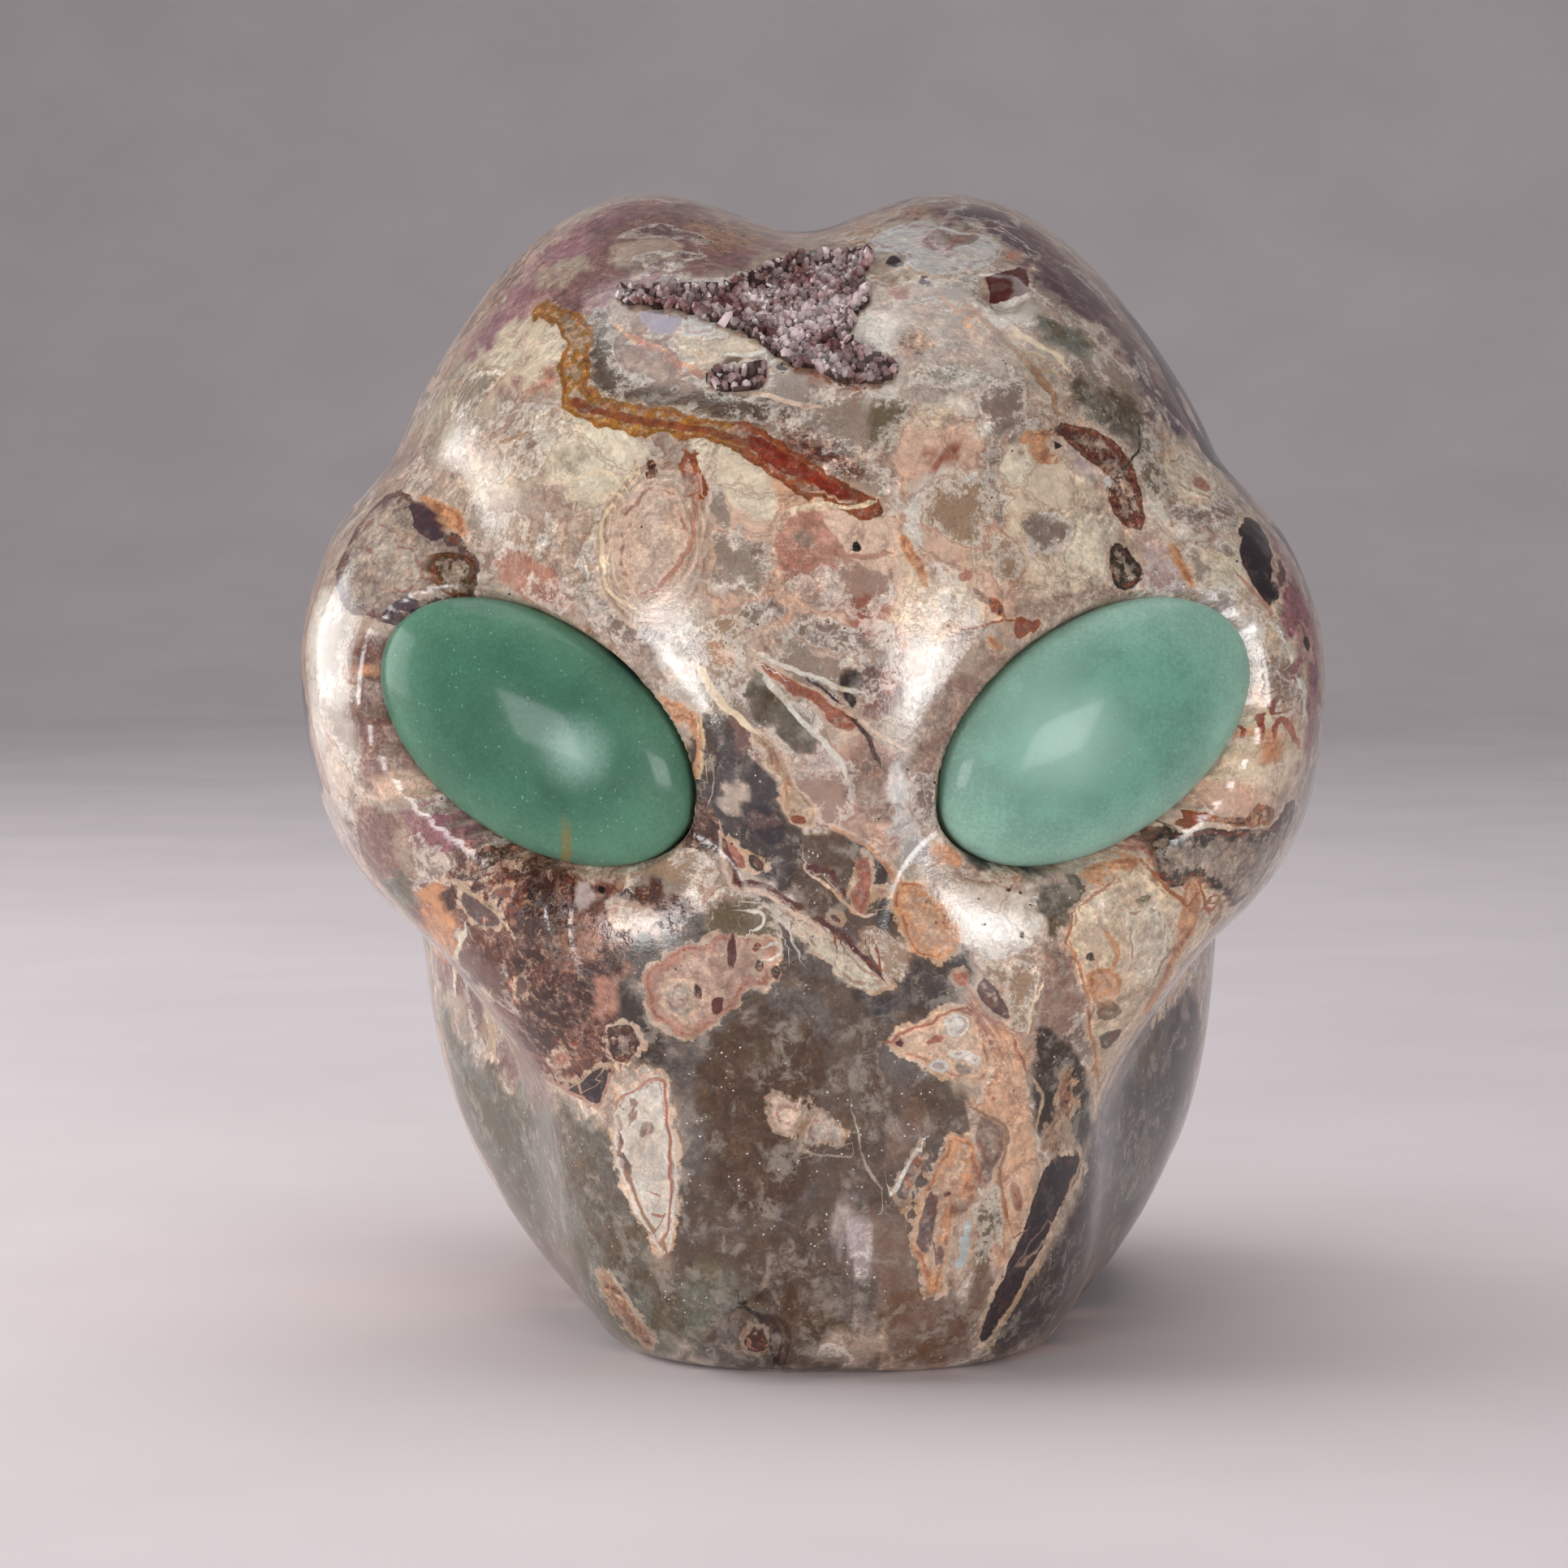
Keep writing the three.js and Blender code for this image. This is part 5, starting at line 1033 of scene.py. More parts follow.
def paint_stone(points, normals):
    """All the stone's markings, as colour attributes for the material."""
    places, facing = face_chart(points, normals)
    face = smooth_step(FACE_FROM, FACE_WHOLE, facing)
    warp = np.stack([crumple(points, 2.6, 21), crumple(points, 2.6, 29)], 1)
    ground, look = solid_ground(points)
    painted = np.tile(linear(TINTS["grey cloud"][0]), (len(points), 1))
    painted_look = np.tile(LOOKS["cloudy"], (len(points), 1))
    window = np.full(len(points), FAR_FROM_EDGE)
    for tint, soft, ragged, outline in GROUNDS:
        soft *= GROUND_SOFTNESS
        shape = rounded(outline)
        chosen = close_to(places, shape, soft + ragged + 1)
        distance = outline_distance(places[chosen] + ragged * warp[chosen], shape)
        amount = smooth_step(soft / 2, -soft / 2, distance)[:, None]
        # a clear ground adds to the windows, and any other covers those under it
        if tint in WINDOW_GROUNDS:
            window[chosen] = np.minimum(window[chosen], distance)
        else:
            window[chosen] = np.maximum(window[chosen], -distance)
        painted[chosen] += amount * (linear(TINTS[tint][0]) - painted[chosen])
        painted_look[chosen] += amount * (np.array(LOOKS[TINTS[tint][1]]) - painted_look[chosen])
    ground += face[:, None] * (painted - ground)
    look += face[:, None] * (painted_look - look)

    large, small = Layer(len(points)), Layer(len(points))
    off_face = FACE_DRAW_IN * (1 - face)
    for layer, pieces in ((large, PIECES), (small, SMALL_PIECES)):
        for tint, rim, ragged, outline in pieces:
            shape = rounded(outline, 1)
            chosen = close_to(places, shape, ragged + 3)
            distance = outline_distance(places[chosen] + ragged * warp[chosen], shape)
            layer.lay(chosen, distance + off_face[chosen], tint, rim)
    for layer, shards in zip((large, small), SHARDS):
        scatter_shards(points, face, layer, *shards)

    vein = Layer(len(points))
    signed = np.full(len(points), FAR_FROM_EDGE)
    width = np.zeros(len(points))
    for tint, half_width, path in VEINS:
        shape = softened(path)
        chosen = close_to(places, shape, 2.5)
        distance = line_distance(places[chosen] + VEIN_WARP * warp[chosen], shape)
        away = np.abs(distance) + off_face[chosen]
        nearer = away < vein.edge[chosen]
        vein.lay(chosen, away, tint)
        signed[chosen[nearer]] = distance[nearer]
        width[chosen[nearer]] = half_width
    there = smooth_step(VEIN_GONE, VEIN_WHOLE, vein.edge)

    attributes = {
        "ground": np.concatenate([ground, look[:, 4:]], 1),
        "ground_look": look[:, :4],
        "vein": np.concatenate([vein.tint, np.clip(0.5 + signed / EDGE_SPAN, 0, 1)[:, None]], 1),
        "vein_look": np.stack([width, np.clip(0.5 + (window + off_face) / EDGE_SPAN, 0, 1), there, there], 1),
    }
    attributes.update(large.attributes("piece"))
    attributes.update(small.attributes("small_piece"))
    return attributes

def add_node(tree, kind, inputs=None, **settings):
    """Adds a shader node: inputs are values or sockets to link, by name or number."""
    made = tree.nodes.new("ShaderNode" + kind)
    for name, value in settings.items():
        setattr(made, name, value)
    for socket, value in (inputs or {}).items():
        if isinstance(value, bpy.types.NodeSocket):
            tree.links.new(value, made.inputs[socket])
        else:
            made.inputs[socket].default_value = value
    return made


def maths(tree, operation, *values):
    """A Math node's result."""
    return add_node(tree, "Math", dict(enumerate(values)), operation=operation).outputs[0]


def times(tree, *values):
    """The product of two or more values."""
    product = values[0]
    for value in values[1:]:
        product = maths(tree, "MULTIPLY", product, value)
    return product


def vector_maths(tree, operation, inputs):
    """A Vector Math node's first result."""
    return add_node(tree, "VectorMath", inputs, operation=operation).outputs[0]


def channels(tree, color):
    """The red, green and blue of a colour."""
    return add_node(tree, "SeparateColor", {0: color}).outputs


def attribute(tree, name):
    """The sockets that read one of the piece's attributes."""
    return add_node(tree, "Attribute", attribute_name=name).outputs


def ramp(tree, value, low, high, to_low=0.0, to_high=1.0):
    """A smooth climb from one value to another while the input goes from low to high."""
    if isinstance(high, float) and low > high:
        low, high, to_low, to_high = high, low, to_high, to_low
    inputs = dict(enumerate((value, low, high, to_low, to_high)))
    return add_node(tree, "MapRange", inputs, interpolation_type="SMOOTHSTEP").outputs[0]


def mixed(tree, factor, a, b, kind="MIX"):
    """Two colours mixed by a factor."""
    return add_node(tree, "Mix", {0: factor, 6: a, 7: b}, data_type="RGBA", blend_type=kind).outputs[2]


def between(tree, factor, a, b):
    """A value that goes from a to b with the factor."""
    return add_node(tree, "Mix", {0: factor, 2: a, 3: b}).outputs[0]


def noise(tree, vector, size, detail=3.0, roughness=0.55, distortion=0.0):
    """The value and the colour of noise whose features are about one size across, in the vector's unit."""
    inputs = {"Vector": vector, "Scale": 1 / size, "Detail": detail, "Roughness": roughness}
    return add_node(tree, "TexNoise", {**inputs, "Distortion": distortion}).outputs


def new_group(name, inputs, outputs):
    """An empty node group with sockets named for each kind; returns it with its input and output nodes."""
    tree = bpy.data.node_groups.new(name, "ShaderNodeTree")
    for direction, sockets in (("INPUT", inputs), ("OUTPUT", outputs)):
        for kind, labels in sockets.items():
            for label in labels.split(", "):
                tree.interface.new_socket(label, in_out=direction, socket_type="NodeSocket" + kind)
    return tree, tree.nodes.new("NodeGroupInput").outputs, tree.nodes.new("NodeGroupOutput")


def give(tree, out, **values):
    """Links values to the group's outputs of the same names."""
    for label, value in values.items():
        tree.links.new(value, out.inputs[label])
    return tree


def use_group(tree, name, build, inputs):
    """The outputs of a named node group, which is built the first time that a material asks for it."""
    group = bpy.data.node_groups.get(name) or build(name)
    return add_node(tree, "Group", node_tree=group, inputs=inputs).outputs


def new_material(name, values):
    """A new material, its node tree and its shader, with plain values set on the shader's own sockets."""
    material = bpy.data.materials.new(name)
    material.use_nodes = True
    shader = material.node_tree.nodes["Principled BSDF"]
    for label, value in values.items():
        shader.inputs[label].default_value = value
    return material, material.node_tree, shader


def rgba(code):
    """A swatch's hex code as a colour socket's value."""
    return (*linear(code), 1.0)


def build_millimetres(name):
    """Object coordinates in millimetres, bent a little by slow noise so that no pattern runs straight."""
    tree, given, out = new_group(name, {"Float": "Bend"}, {"Vector": "Place, Bent"})
    place = add_node(tree, "TexCoord").outputs["Object"]
    place = vector_maths(tree, "SCALE", {0: place, 3: 1000.0})
    slow = noise(tree, place, 4.0, 4.0)["Color"]
    centred = vector_maths(tree, "SUBTRACT", {0: slow, 1: (0.5, 0.5, 0.5)})
    scaled = vector_maths(tree, "SCALE", {0: centred, 3: given["Bend"]})
    return give(tree, out, Place=place, Bent=vector_maths(tree, "ADD", {0: place, 1: scaled}))


def build_inlay(name):
    """Lays a piece over a colour: a broken pale rim outside it, a rusty line inside, then its greyer core."""
    sockets = {"Color": "Under, Tint, Rim Tint", "Float": "Distance, Rim, Core", "Vector": "Place"}
    tree, given, out = new_group(name, sockets, {"Color": "Color", "Float": "Inside"})
    away, place, cored = given["Distance"], given["Place"], given["Core"]
    inside = ramp(tree, away, 0.06, -0.06)
    broken = noise(tree, place, 1.3, 5.0, 0.65)[0]
    reach = ramp(tree, broken, 0.38, 0.62, 0.12, 0.55)
    rim = ramp(tree, maths(tree, "SUBTRACT", away, reach), 0.08, -0.08)
    rim = times(tree, rim, given["Rim"], ramp(tree, broken, 0.36, 0.5, 0.3, 1))
    rimmed = mixed(tree, rim, given["Under"], given["Rim Tint"])
    drift = noise(tree, place, 1.0, 6.0, 0.68)
    depth = maths(tree, "MULTIPLY_ADD", maths(tree, "SUBTRACT", drift[0], 0.5), 4.5, away)
    core = times(tree, ramp(tree, depth, -0.5, -1.0), cored, 0.55)
    patches = ramp(tree, channels(tree, drift["Color"])[1], 0.47, 0.53)
    heart = mixed(tree, patches, rgba("a8968a"), rgba("d3c1ad"))
    shaded = mixed(tree, core, given["Tint"], heart)
    line = maths(tree, "ABSOLUTE", maths(tree, "ADD", away, 0.32))
    line = times(tree, ramp(tree, line, 0.2, 0.06), ramp(tree, broken, 0.56, 0.46), 0.6)
    line = times(tree, line, ramp(tree, cored, 0.0, 1.0, 0.3, 1.0))
    shaded = mixed(tree, line, shaded, rgba("8c4a34"))
    return give(tree, out, Color=mixed(tree, inside, rimmed, shaded), Inside=inside)


def build_windows(name):
    """Clear windows in cloudy stone, with crumbling edges and pale fibres that grow inwards from them."""
    sockets = {"Color": "Color", "Vector": "Place", "Float": "Distance, Share, Ragged, Clear"}
    tree, given, out = new_group(name, sockets, {"Color": "Color", "Float": "Window"})
    color, place = given["Color"], given["Place"]
    cloudy = ramp(tree, given["Clear"], 0.8, 0.3)
    slow = noise(tree, place, 2.6, 5.0, 0.62)["Color"]
    warp = vector_maths(tree, "MULTIPLY_ADD", {0: slow, 1: (4.2, 4.2, 4.2), 2: place})
    cells = {"Vector": warp, "Scale": 1 / CELL_SIZE}
    cell = add_node(tree, "TexVoronoi", cells).outputs
    border = add_node(tree, "TexVoronoi", cells, feature="DISTANCE_TO_EDGE").outputs["Distance"]
    chance = channels(tree, cell["Color"])
    away = times(tree, border, CELL_SIZE)
    clear = maths(tree, "LESS_THAN", chance[0], given["Share"])
    own = times(tree, away, maths(tree, "MULTIPLY_ADD", clear, -2.0, 1.0))
    distance = maths(tree, "MINIMUM", own, maths(tree, "ADD", given["Distance"], given["Ragged"]))

    # fibres depend on the direction from the cell's middle, so they run along its radii
    way = vector_maths(tree, "NORMALIZE", {0: vector_maths(tree, "SUBTRACT", {0: warp, 1: cell["Position"]})})
    way = vector_maths(tree, "MULTIPLY_ADD", {0: way, 1: (11, 11, 11), 2: cell["Color"]})
    fibres = noise(tree, way, 1.0, 3.0, 0.6)[0]
    tufts = noise(tree, place, 0.8, 4.0, 0.6)[0]
    reach = ramp(tree, maths(tree, "ADD", fibres, tufts), 0.75, 1.25, 0.05, 1.6)
    growth = ramp(tree, maths(tree, "ADD", distance, reach), -0.35, 0.75)
    growth = times(tree, growth, ramp(tree, cloudy, 0.0, 1.0, 0.15, 1.0))
    inside = ramp(tree, distance, 0.1, -0.1)
    window = times(tree, inside, maths(tree, "SUBTRACT", 1.0, growth))

    stone = mixed(tree, ramp(tree, chance[1], 0.3, 0.8), (1.04, 1.01, 0.98, 1), (0.95, 0.85, 0.79, 1))
    stone = mixed(tree, 1.0, color, stone, "MULTIPLY")
    glass = mixed(tree, 1.0, color, WINDOW_TINT, "MULTIPLY")
    within = mixed(tree, growth, glass, mixed(tree, 0.55, color, rgba("e6dace")))
    shore = ramp(tree, maths(tree, "ABSOLUTE", maths(tree, "SUBTRACT", distance, 0.2)), 0.2, 0.04)
    stone = mixed(tree, times(tree, shore, cloudy, 0.4), stone, rgba("8a5f50"))
    return give(tree, out, Color=mixed(tree, inside, stone, within), Window=window)


def build_grain(name):
    """The stone's close detail: mottling, drifts of rust and grey, frost, bands, flecks and clear quartz."""
    sockets = {"Color": "Color", "Vector": "Place, Bent", "Float": "Mottle, Fleck, Frost, Band, Clear, Phase"}
    tree, given, out = new_group(name, sockets, {"Color": "Color", "Float": "Height, Glints"})
    color, place, bent = given["Color"], given["Place"], given["Bent"]
    mottle, fleck, frost, band, clear, phase = (given[label] for label in sockets["Float"].split(", "))
    clouds = noise(tree, bent, 2.8, 7.0, 0.62, 0.5)
    middle = noise(tree, bent, 0.9, 6.0, 0.66, 0.25)
    fine = noise(tree, place, 0.3, 3.0, 0.6)[0]
    broad, close = channels(tree, clouds["Color"]), channels(tree, middle["Color"])

    # islands of darker, greyer or ruddier stone with crisp crumbling shores
    islands = times(tree, mottle, ramp(tree, clear, 0.3, 1.0, 1.0, 0.3))
    shores = []
    for index, (size, tint, middle_share) in enumerate(ISLANDS):
        field = noise(tree, bent, size, 6.0, 0.58, 0.6)[0]
        field = maths(tree, "MULTIPLY_ADD", maths(tree, "SUBTRACT", close[index % 3], 0.5), 0.3, field)
        shores.append(maths(tree, "SUBTRACT", field, middle_share))
        island = times(tree, ramp(tree, shores[-1], -0.012, 0.02), islands)
        color = mixed(tree, island, color, (*tint, 1), "MULTIPLY")

    # lace: a pale line, and a few bands beside it, along the first islands' shores
    lace = maths(tree, "ABSOLUTE", maths(tree, "ADD", shores[0], 0.02))
    bands = maths(tree, "SINE", times(tree, shores[0], 420.0))
    bands = times(tree, ramp(tree, bands, 0.0, 0.8), ramp(tree, lace, 0.075, 0.03), 0.6)
    lace = maths(tree, "MAXIMUM", ramp(tree, lace, 0.018, 0.004), bands)
    lace = times(tree, lace, ramp(tree, broad[0], 0.42, 0.58), frost, 1.3)
    color = mixed(tree, lace, color, rgba("dccbb8"))

    # light and dark mottling
    light = times(tree, maths(tree, "SUBTRACT", middle[0], 0.5), 1.5)
    for other in (clouds[0], fine):
        light = maths(tree, "MULTIPLY_ADD", maths(tree, "SUBTRACT", other, 0.5), 1.4, light)
    gain = maths(tree, "POWER", 6.0, times(tree, light, mottle))
    grey = add_node(tree, "CombineColor", {0: gain, 1: gain, 2: gain}).outputs[0]
    color = mixed(tree, 1.0, color, grey, "MULTIPLY")

    # frost: pale cloudy growths with crumbling edges
    crumbs = noise(tree, bent, 1.7, 9.0, 0.74, 0.35)[0]
    color = mixed(tree, times(tree, ramp(tree, crumbs, 0.53, 0.66), frost), color, rgba("d9cdbf"))

    # agate bands, stronger in some places than in others
    second = maths(tree, "SINE", times(tree, phase, 2.7))
    wave = maths(tree, "MULTIPLY_ADD", second, 0.6, maths(tree, "SINE", phase))
    banded = times(tree, wave, ramp(tree, broad[2], 0.4, 0.55, 0.25, 1.0), band, 0.22)
    inputs = {"Value": maths(tree, "ADD", banded, 1.0), "Color": color}
    color = add_node(tree, "HueSaturation", inputs).outputs[0]

    # rusty flecks, the pale grains between them, and pinholes
    grains = noise(tree, bent, 0.8, 7.0, 0.7, 0.4)[0]
    rusty = times(tree, ramp(tree, grains, 0.53, 0.6), fleck)
    color = mixed(tree, rusty, color, rgba("3f1d17"))
    color = mixed(tree, times(tree, ramp(tree, grains, 0.46, 0.38), fleck, 0.55), color, rgba("c9a086"))
    hole = add_node(tree, "TexVoronoi", {"Vector": bent, "Scale": 0.9}).outputs
    odds = channels(tree, hole["Color"])[1]
    pinhole = times(tree, ramp(tree, hole["Distance"], 0.12, 0.07), ramp(tree, odds, 0.9, 0.92))
    color = mixed(tree, pinhole, color, rgba("2a1c18"))

    # clear quartz: brown and olive clouds deep in it, and where crystal faces catch the light
    depths = channels(tree, noise(tree, place, 4.4, 6.0, 0.62, 0.5)["Color"])
    cloud = times(tree, ramp(tree, depths[0], 0.47, 0.56), clear, 0.8)
    color = mixed(tree, cloud, color, (0.76, 0.58, 0.38, 1), "MULTIPLY")
    crumb = times(tree, ramp(tree, crumbs, 0.46, 0.58), ramp(tree, depths[1], 0.44, 0.58), clear, 0.55)
    color = mixed(tree, crumb, color, rgba("a89c8e"))
    glints = times(tree, ramp(tree, depths[2], 0.5, 0.58), clear)
    dents = maths(tree, "SUBTRACT", maths(tree, "SUBTRACT", fine, rusty), pinhole)
    return give(tree, out, Color=color, Height=dents, Glints=glints)


def build_glints(name):
    """Spots of light in the middles of some Voronoi cells: a cell's odds climb to all of it at a level."""
    sockets = {"Color": "Color, Glint", "Vector": "Place", "Float": "Scale, Whole, Share"}
    tree, given, out = new_group(name, sockets, {"Color": "Color"})
    cell = add_node(tree, "TexVoronoi", {"Vector": given["Place"], "Scale": given["Scale"]}).outputs
    odds = ramp(tree, channels(tree, cell["Color"])[0], 0.72, given["Whole"])
    spot = times(tree, ramp(tree, cell["Distance"], 0.3, 0.1), odds, given["Share"])
    return give(tree, out, Color=mixed(tree, spot, given["Color"], given["Glint"]))


def read_layer(tree, name):
    """A marking layer's tint, distance in millimetres, look and rim."""
    tint, look = attribute(tree, name), attribute(tree, name + "_look")
    distance = times(tree, maths(tree, "SUBTRACT", tint["Alpha"], 0.5), EDGE_SPAN)
    return tint["Color"], distance, look["Color"], look["Alpha"]


def make_agate(settings):
    """Polished agate: painted grounds, two coats of crisp pieces, veins, and the grain over them all."""
    material, tree, shader = new_material("Polished agate", {"IOR": 1.54, "Specular IOR Level": 0.65})
    spots = use_group(tree, "Stone place", build_millimetres, {"Bend": 1.6})
    place = spots["Place"]
    ground, look = attribute(tree, "ground"), attribute(tree, "ground_look")
    color, clear = ground["Color"], ground["Alpha"]
    mottle, fleck, frost = channels(tree, look["Color"])
    band = look["Alpha"]
    phase = times(tree, noise(tree, place, 9.0, 1.5)[0], 110.0)
    wander = maths(tree, "SUBTRACT", noise(tree, place, 1.6, 8.0, 0.68)[0], 0.5)
    width, window_edge, _ = channels(tree, attribute(tree, "vein_look")["Color"])
    edge = times(tree, maths(tree, "SUBTRACT", window_edge, 0.5), EDGE_SPAN)
    color, window = use_group(tree, "Stone windows", build_windows, {
        "Color": color, "Place": place, "Distance": edge, "Ragged": times(tree, wander, 2.4),
        "Share": times(tree, frost, 0.9), "Clear": clear})
    patch = ramp(tree, noise(tree, place, 7.0, 2.0)[0], 0.4, 0.62, 0.5, 1.25)
    mottle = times(tree, mottle, patch, ramp(tree, window, 0.0, 1.0, 1.0, 0.45))
    frost = times(tree, frost, ramp(tree, window, 0.0, 1.0, 0.8, 0.2))

    for name, ragged in (("piece", 1.0), ("small_piece", 0.7)):
        tint, distance, piece_look, rim = read_layer(tree, name)
        distance = maths(tree, "MULTIPLY_ADD", wander, ragged, distance)
        looks = channels(tree, piece_look)
        color, inside = use_group(tree, "Stone inlay", build_inlay, {
            "Under": color, "Tint": tint, "Rim Tint": (*settings.rim_tint, 1), "Distance": distance,
            "Rim": rim, "Core": ramp(tree, looks[0], 0.2, 0.36), "Place": place})
        mottle = between(tree, inside, mottle, looks[0])
        fleck = between(tree, inside, fleck, looks[1])
        band = between(tree, inside, band, looks[2])
        frost = between(tree, inside, frost, 0.0)
        clear = between(tree, inside, clear, 0.25)
        phase = between(tree, inside, phase, times(tree, distance, 9.0))

    tint, signed, _, there = read_layer(tree, "vein")
    away = maths(tree, "ABSOLUTE", maths(tree, "MULTIPLY_ADD", wander, 0.6, signed))
    outside = maths(tree, "SUBTRACT", away, width)
    color = mixed(tree, times(tree, ramp(tree, outside, 0.07, -0.05), there), color, tint)
    color, height, glints = use_group(tree, "Stone grain", build_grain, {
        "Color": color, "Place": place, "Bent": spots["Bent"], "Mottle": mottle, "Fleck": fleck,
        "Frost": frost, "Band": band, "Clear": clear, "Phase": phase})
    color = use_group(tree, "Stone glints", build_glints, {
        "Color": color, "Glint": (0.85, 0.85, 0.82, 1), "Place": spots["Bent"], "Scale": 2.8,
        "Whole": 0.9, "Share": glints})[0]
    tree.links.new(color, shader.inputs["Base Color"])
    smear = noise(tree, place, 6.0, 4.0)[0]
    rough = ramp(tree, smear, 0.3, 0.7, settings.gloss * 0.8, settings.gloss * 1.5)
    tree.links.new(rough, shader.inputs["Roughness"])
    bump = add_node(tree, "Bump", {"Strength": 0.25, "Distance": 0.00006, "Height": height})
    tree.links.new(bump.outputs[0], shader.inputs["Normal"])
    return material


def make_aventurine(name, tint, painted_highlight_at, reach, vein_at=None):
    """Green aventurine: clouds and grains of deeper green, painted light making it lighter towards the rim,
    flakes, and a painted highlight.
    """
    material, tree, shader = new_material(name, {
        "Roughness": 0.34, "IOR": 1.54, "Specular IOR Level": 0.12, "Subsurface Weight": 0.4,
        "Subsurface Scale": 0.004, "Subsurface Radius": (0.5, 1.0, 0.7), "Coat Weight": 0.25,
        "Coat Roughness": 0.1})
    place, bent = use_group(tree, "Stone place", build_millimetres, {"Bend": 2.0})
    clouds = noise(tree, bent, 6.0, 5.0, 0.6)[0]
    fine = noise(tree, place, 0.35, 5.0, 0.75)[0]
    blend = ramp(tree, maths(tree, "MULTIPLY_ADD", fine, 0.9, clouds), 0.7, 1.2)
    color = mixed(tree, blend, (*(0.8 * c for c in tint), 1), (*(1.15 * c for c in tint), 1))
    # painted light: lighter towards the rim, as if light came through the dome's narrow edge
    rim_lit_color = mixed(tree, 1.0, color, (1.8, 1.4, 1.45, 1), "MULTIPLY")
    color = mixed(tree, attribute(tree, "thin")["Fac"], color, rim_lit_color)
    away = add_node(tree, "VectorMath", {0: place, 1: painted_highlight_at}, operation="DISTANCE").outputs["Value"]
    away = maths(tree, "MULTIPLY_ADD", maths(tree, "SUBTRACT", fine, 0.5), 3.5, away)
    # painted highlight: a pale spot round a point in the eye, where the front lamps shine back
    color = mixed(tree, ramp(tree, away, reach, 0.3, 0.0, 0.5), color, rgba("b4d6c8"))
    if vein_at is not None:
        spot = add_node(tree, "SeparateXYZ", {0: bent}).outputs
        off = maths(tree, "ABSOLUTE", maths(tree, "SUBTRACT", spot[0], vein_at[0]))
        low = ramp(tree, spot[2], vein_at[1] + 2, vein_at[1] - 1)
        color = mixed(tree, times(tree, ramp(tree, off, 0.7, 0.1), low, 0.75), color, rgba("8a7544"))
    color = use_group(tree, "Stone glints", build_glints, {
        "Color": color, "Glint": rgba("b4d6c6"), "Place": bent, "Scale": 2.6, "Whole": 0.95,
        "Share": 0.4})[0]
    tree.links.new(color, shader.inputs["Base Color"])
    return material


def make_druzy(settings):
    """Small quartz crystals: mauve to brown from one to the next, with glassy faces."""
    material, tree, shader = new_material("Druzy crystals", {"Roughness": 0.14, "IOR": 1.54})
    _, bent = use_group(tree, "Stone place", build_millimetres, {"Bend": 1.0})
    patches = ramp(tree, noise(tree, bent, 3.0, 4.0)[0], 0.35, 0.65)
    each = attribute(tree, "crystal_tint")["Color"]
    color = mixed(tree, patches, each, (*settings.crystal_tint, 1), "MULTIPLY")
    tree.links.new(color, shader.inputs["Base Color"])
    return material

def make_floor(settings):
    """A matt pale sweep with a faint unevenness."""
    material, tree, shader = new_material("Studio floor", {"Roughness": 0.8, "Specular IOR Level": 0.1})
    place, _ = use_group(tree, "Stone place", build_millimetres, {"Bend": 2.0})
    drift = ramp(tree, noise(tree, place, 60.0)[0], 0.3, 0.7)
    tint = settings.floor_tint
    color = mixed(tree, drift, (*tint, 1), (*(0.94 * c for c in tint), 1))
    tree.links.new(color, shader.inputs["Base Color"])
    return material

def add_mesh(name, places, faces, material, attributes=None, smooth=True):
    """Puts whole arrays of places, in millimetres, and faces into a mesh object at the origin."""
    places = np.asarray(places, np.float32) * MM
    counts = [len(f) for f in faces]
    mesh = bpy.data.meshes.new(name)
    mesh.vertices.add(len(places))
    mesh.vertices.foreach_set("co", places.ravel())
    corners = np.concatenate([np.asarray(f, np.int32).ravel() for f in faces])
    sizes = np.concatenate([np.full(n, np.asarray(f).shape[1], np.int32) for n, f in zip(counts, faces)])
    mesh.loops.add(len(corners))
    mesh.loops.foreach_set("vertex_index", corners)
    mesh.polygons.add(len(sizes))
    mesh.polygons.foreach_set("loop_start", np.concatenate([[0], np.cumsum(sizes)[:-1]]).astype(np.int32))
    mesh.polygons.foreach_set("use_smooth", np.full(len(sizes), smooth))
    for label, values in (attributes or {}).items():
        layer = mesh.color_attributes.new(label, "FLOAT_COLOR", "POINT")
        layer.data.foreach_set("color", np.asarray(values, np.float32).ravel())
    mesh.update(calc_edges=True)
    mesh.validate()
    mesh.materials.append(material)
    piece = bpy.data.objects.new(name, mesh)
    bpy.context.scene.collection.objects.link(piece)
    return piece


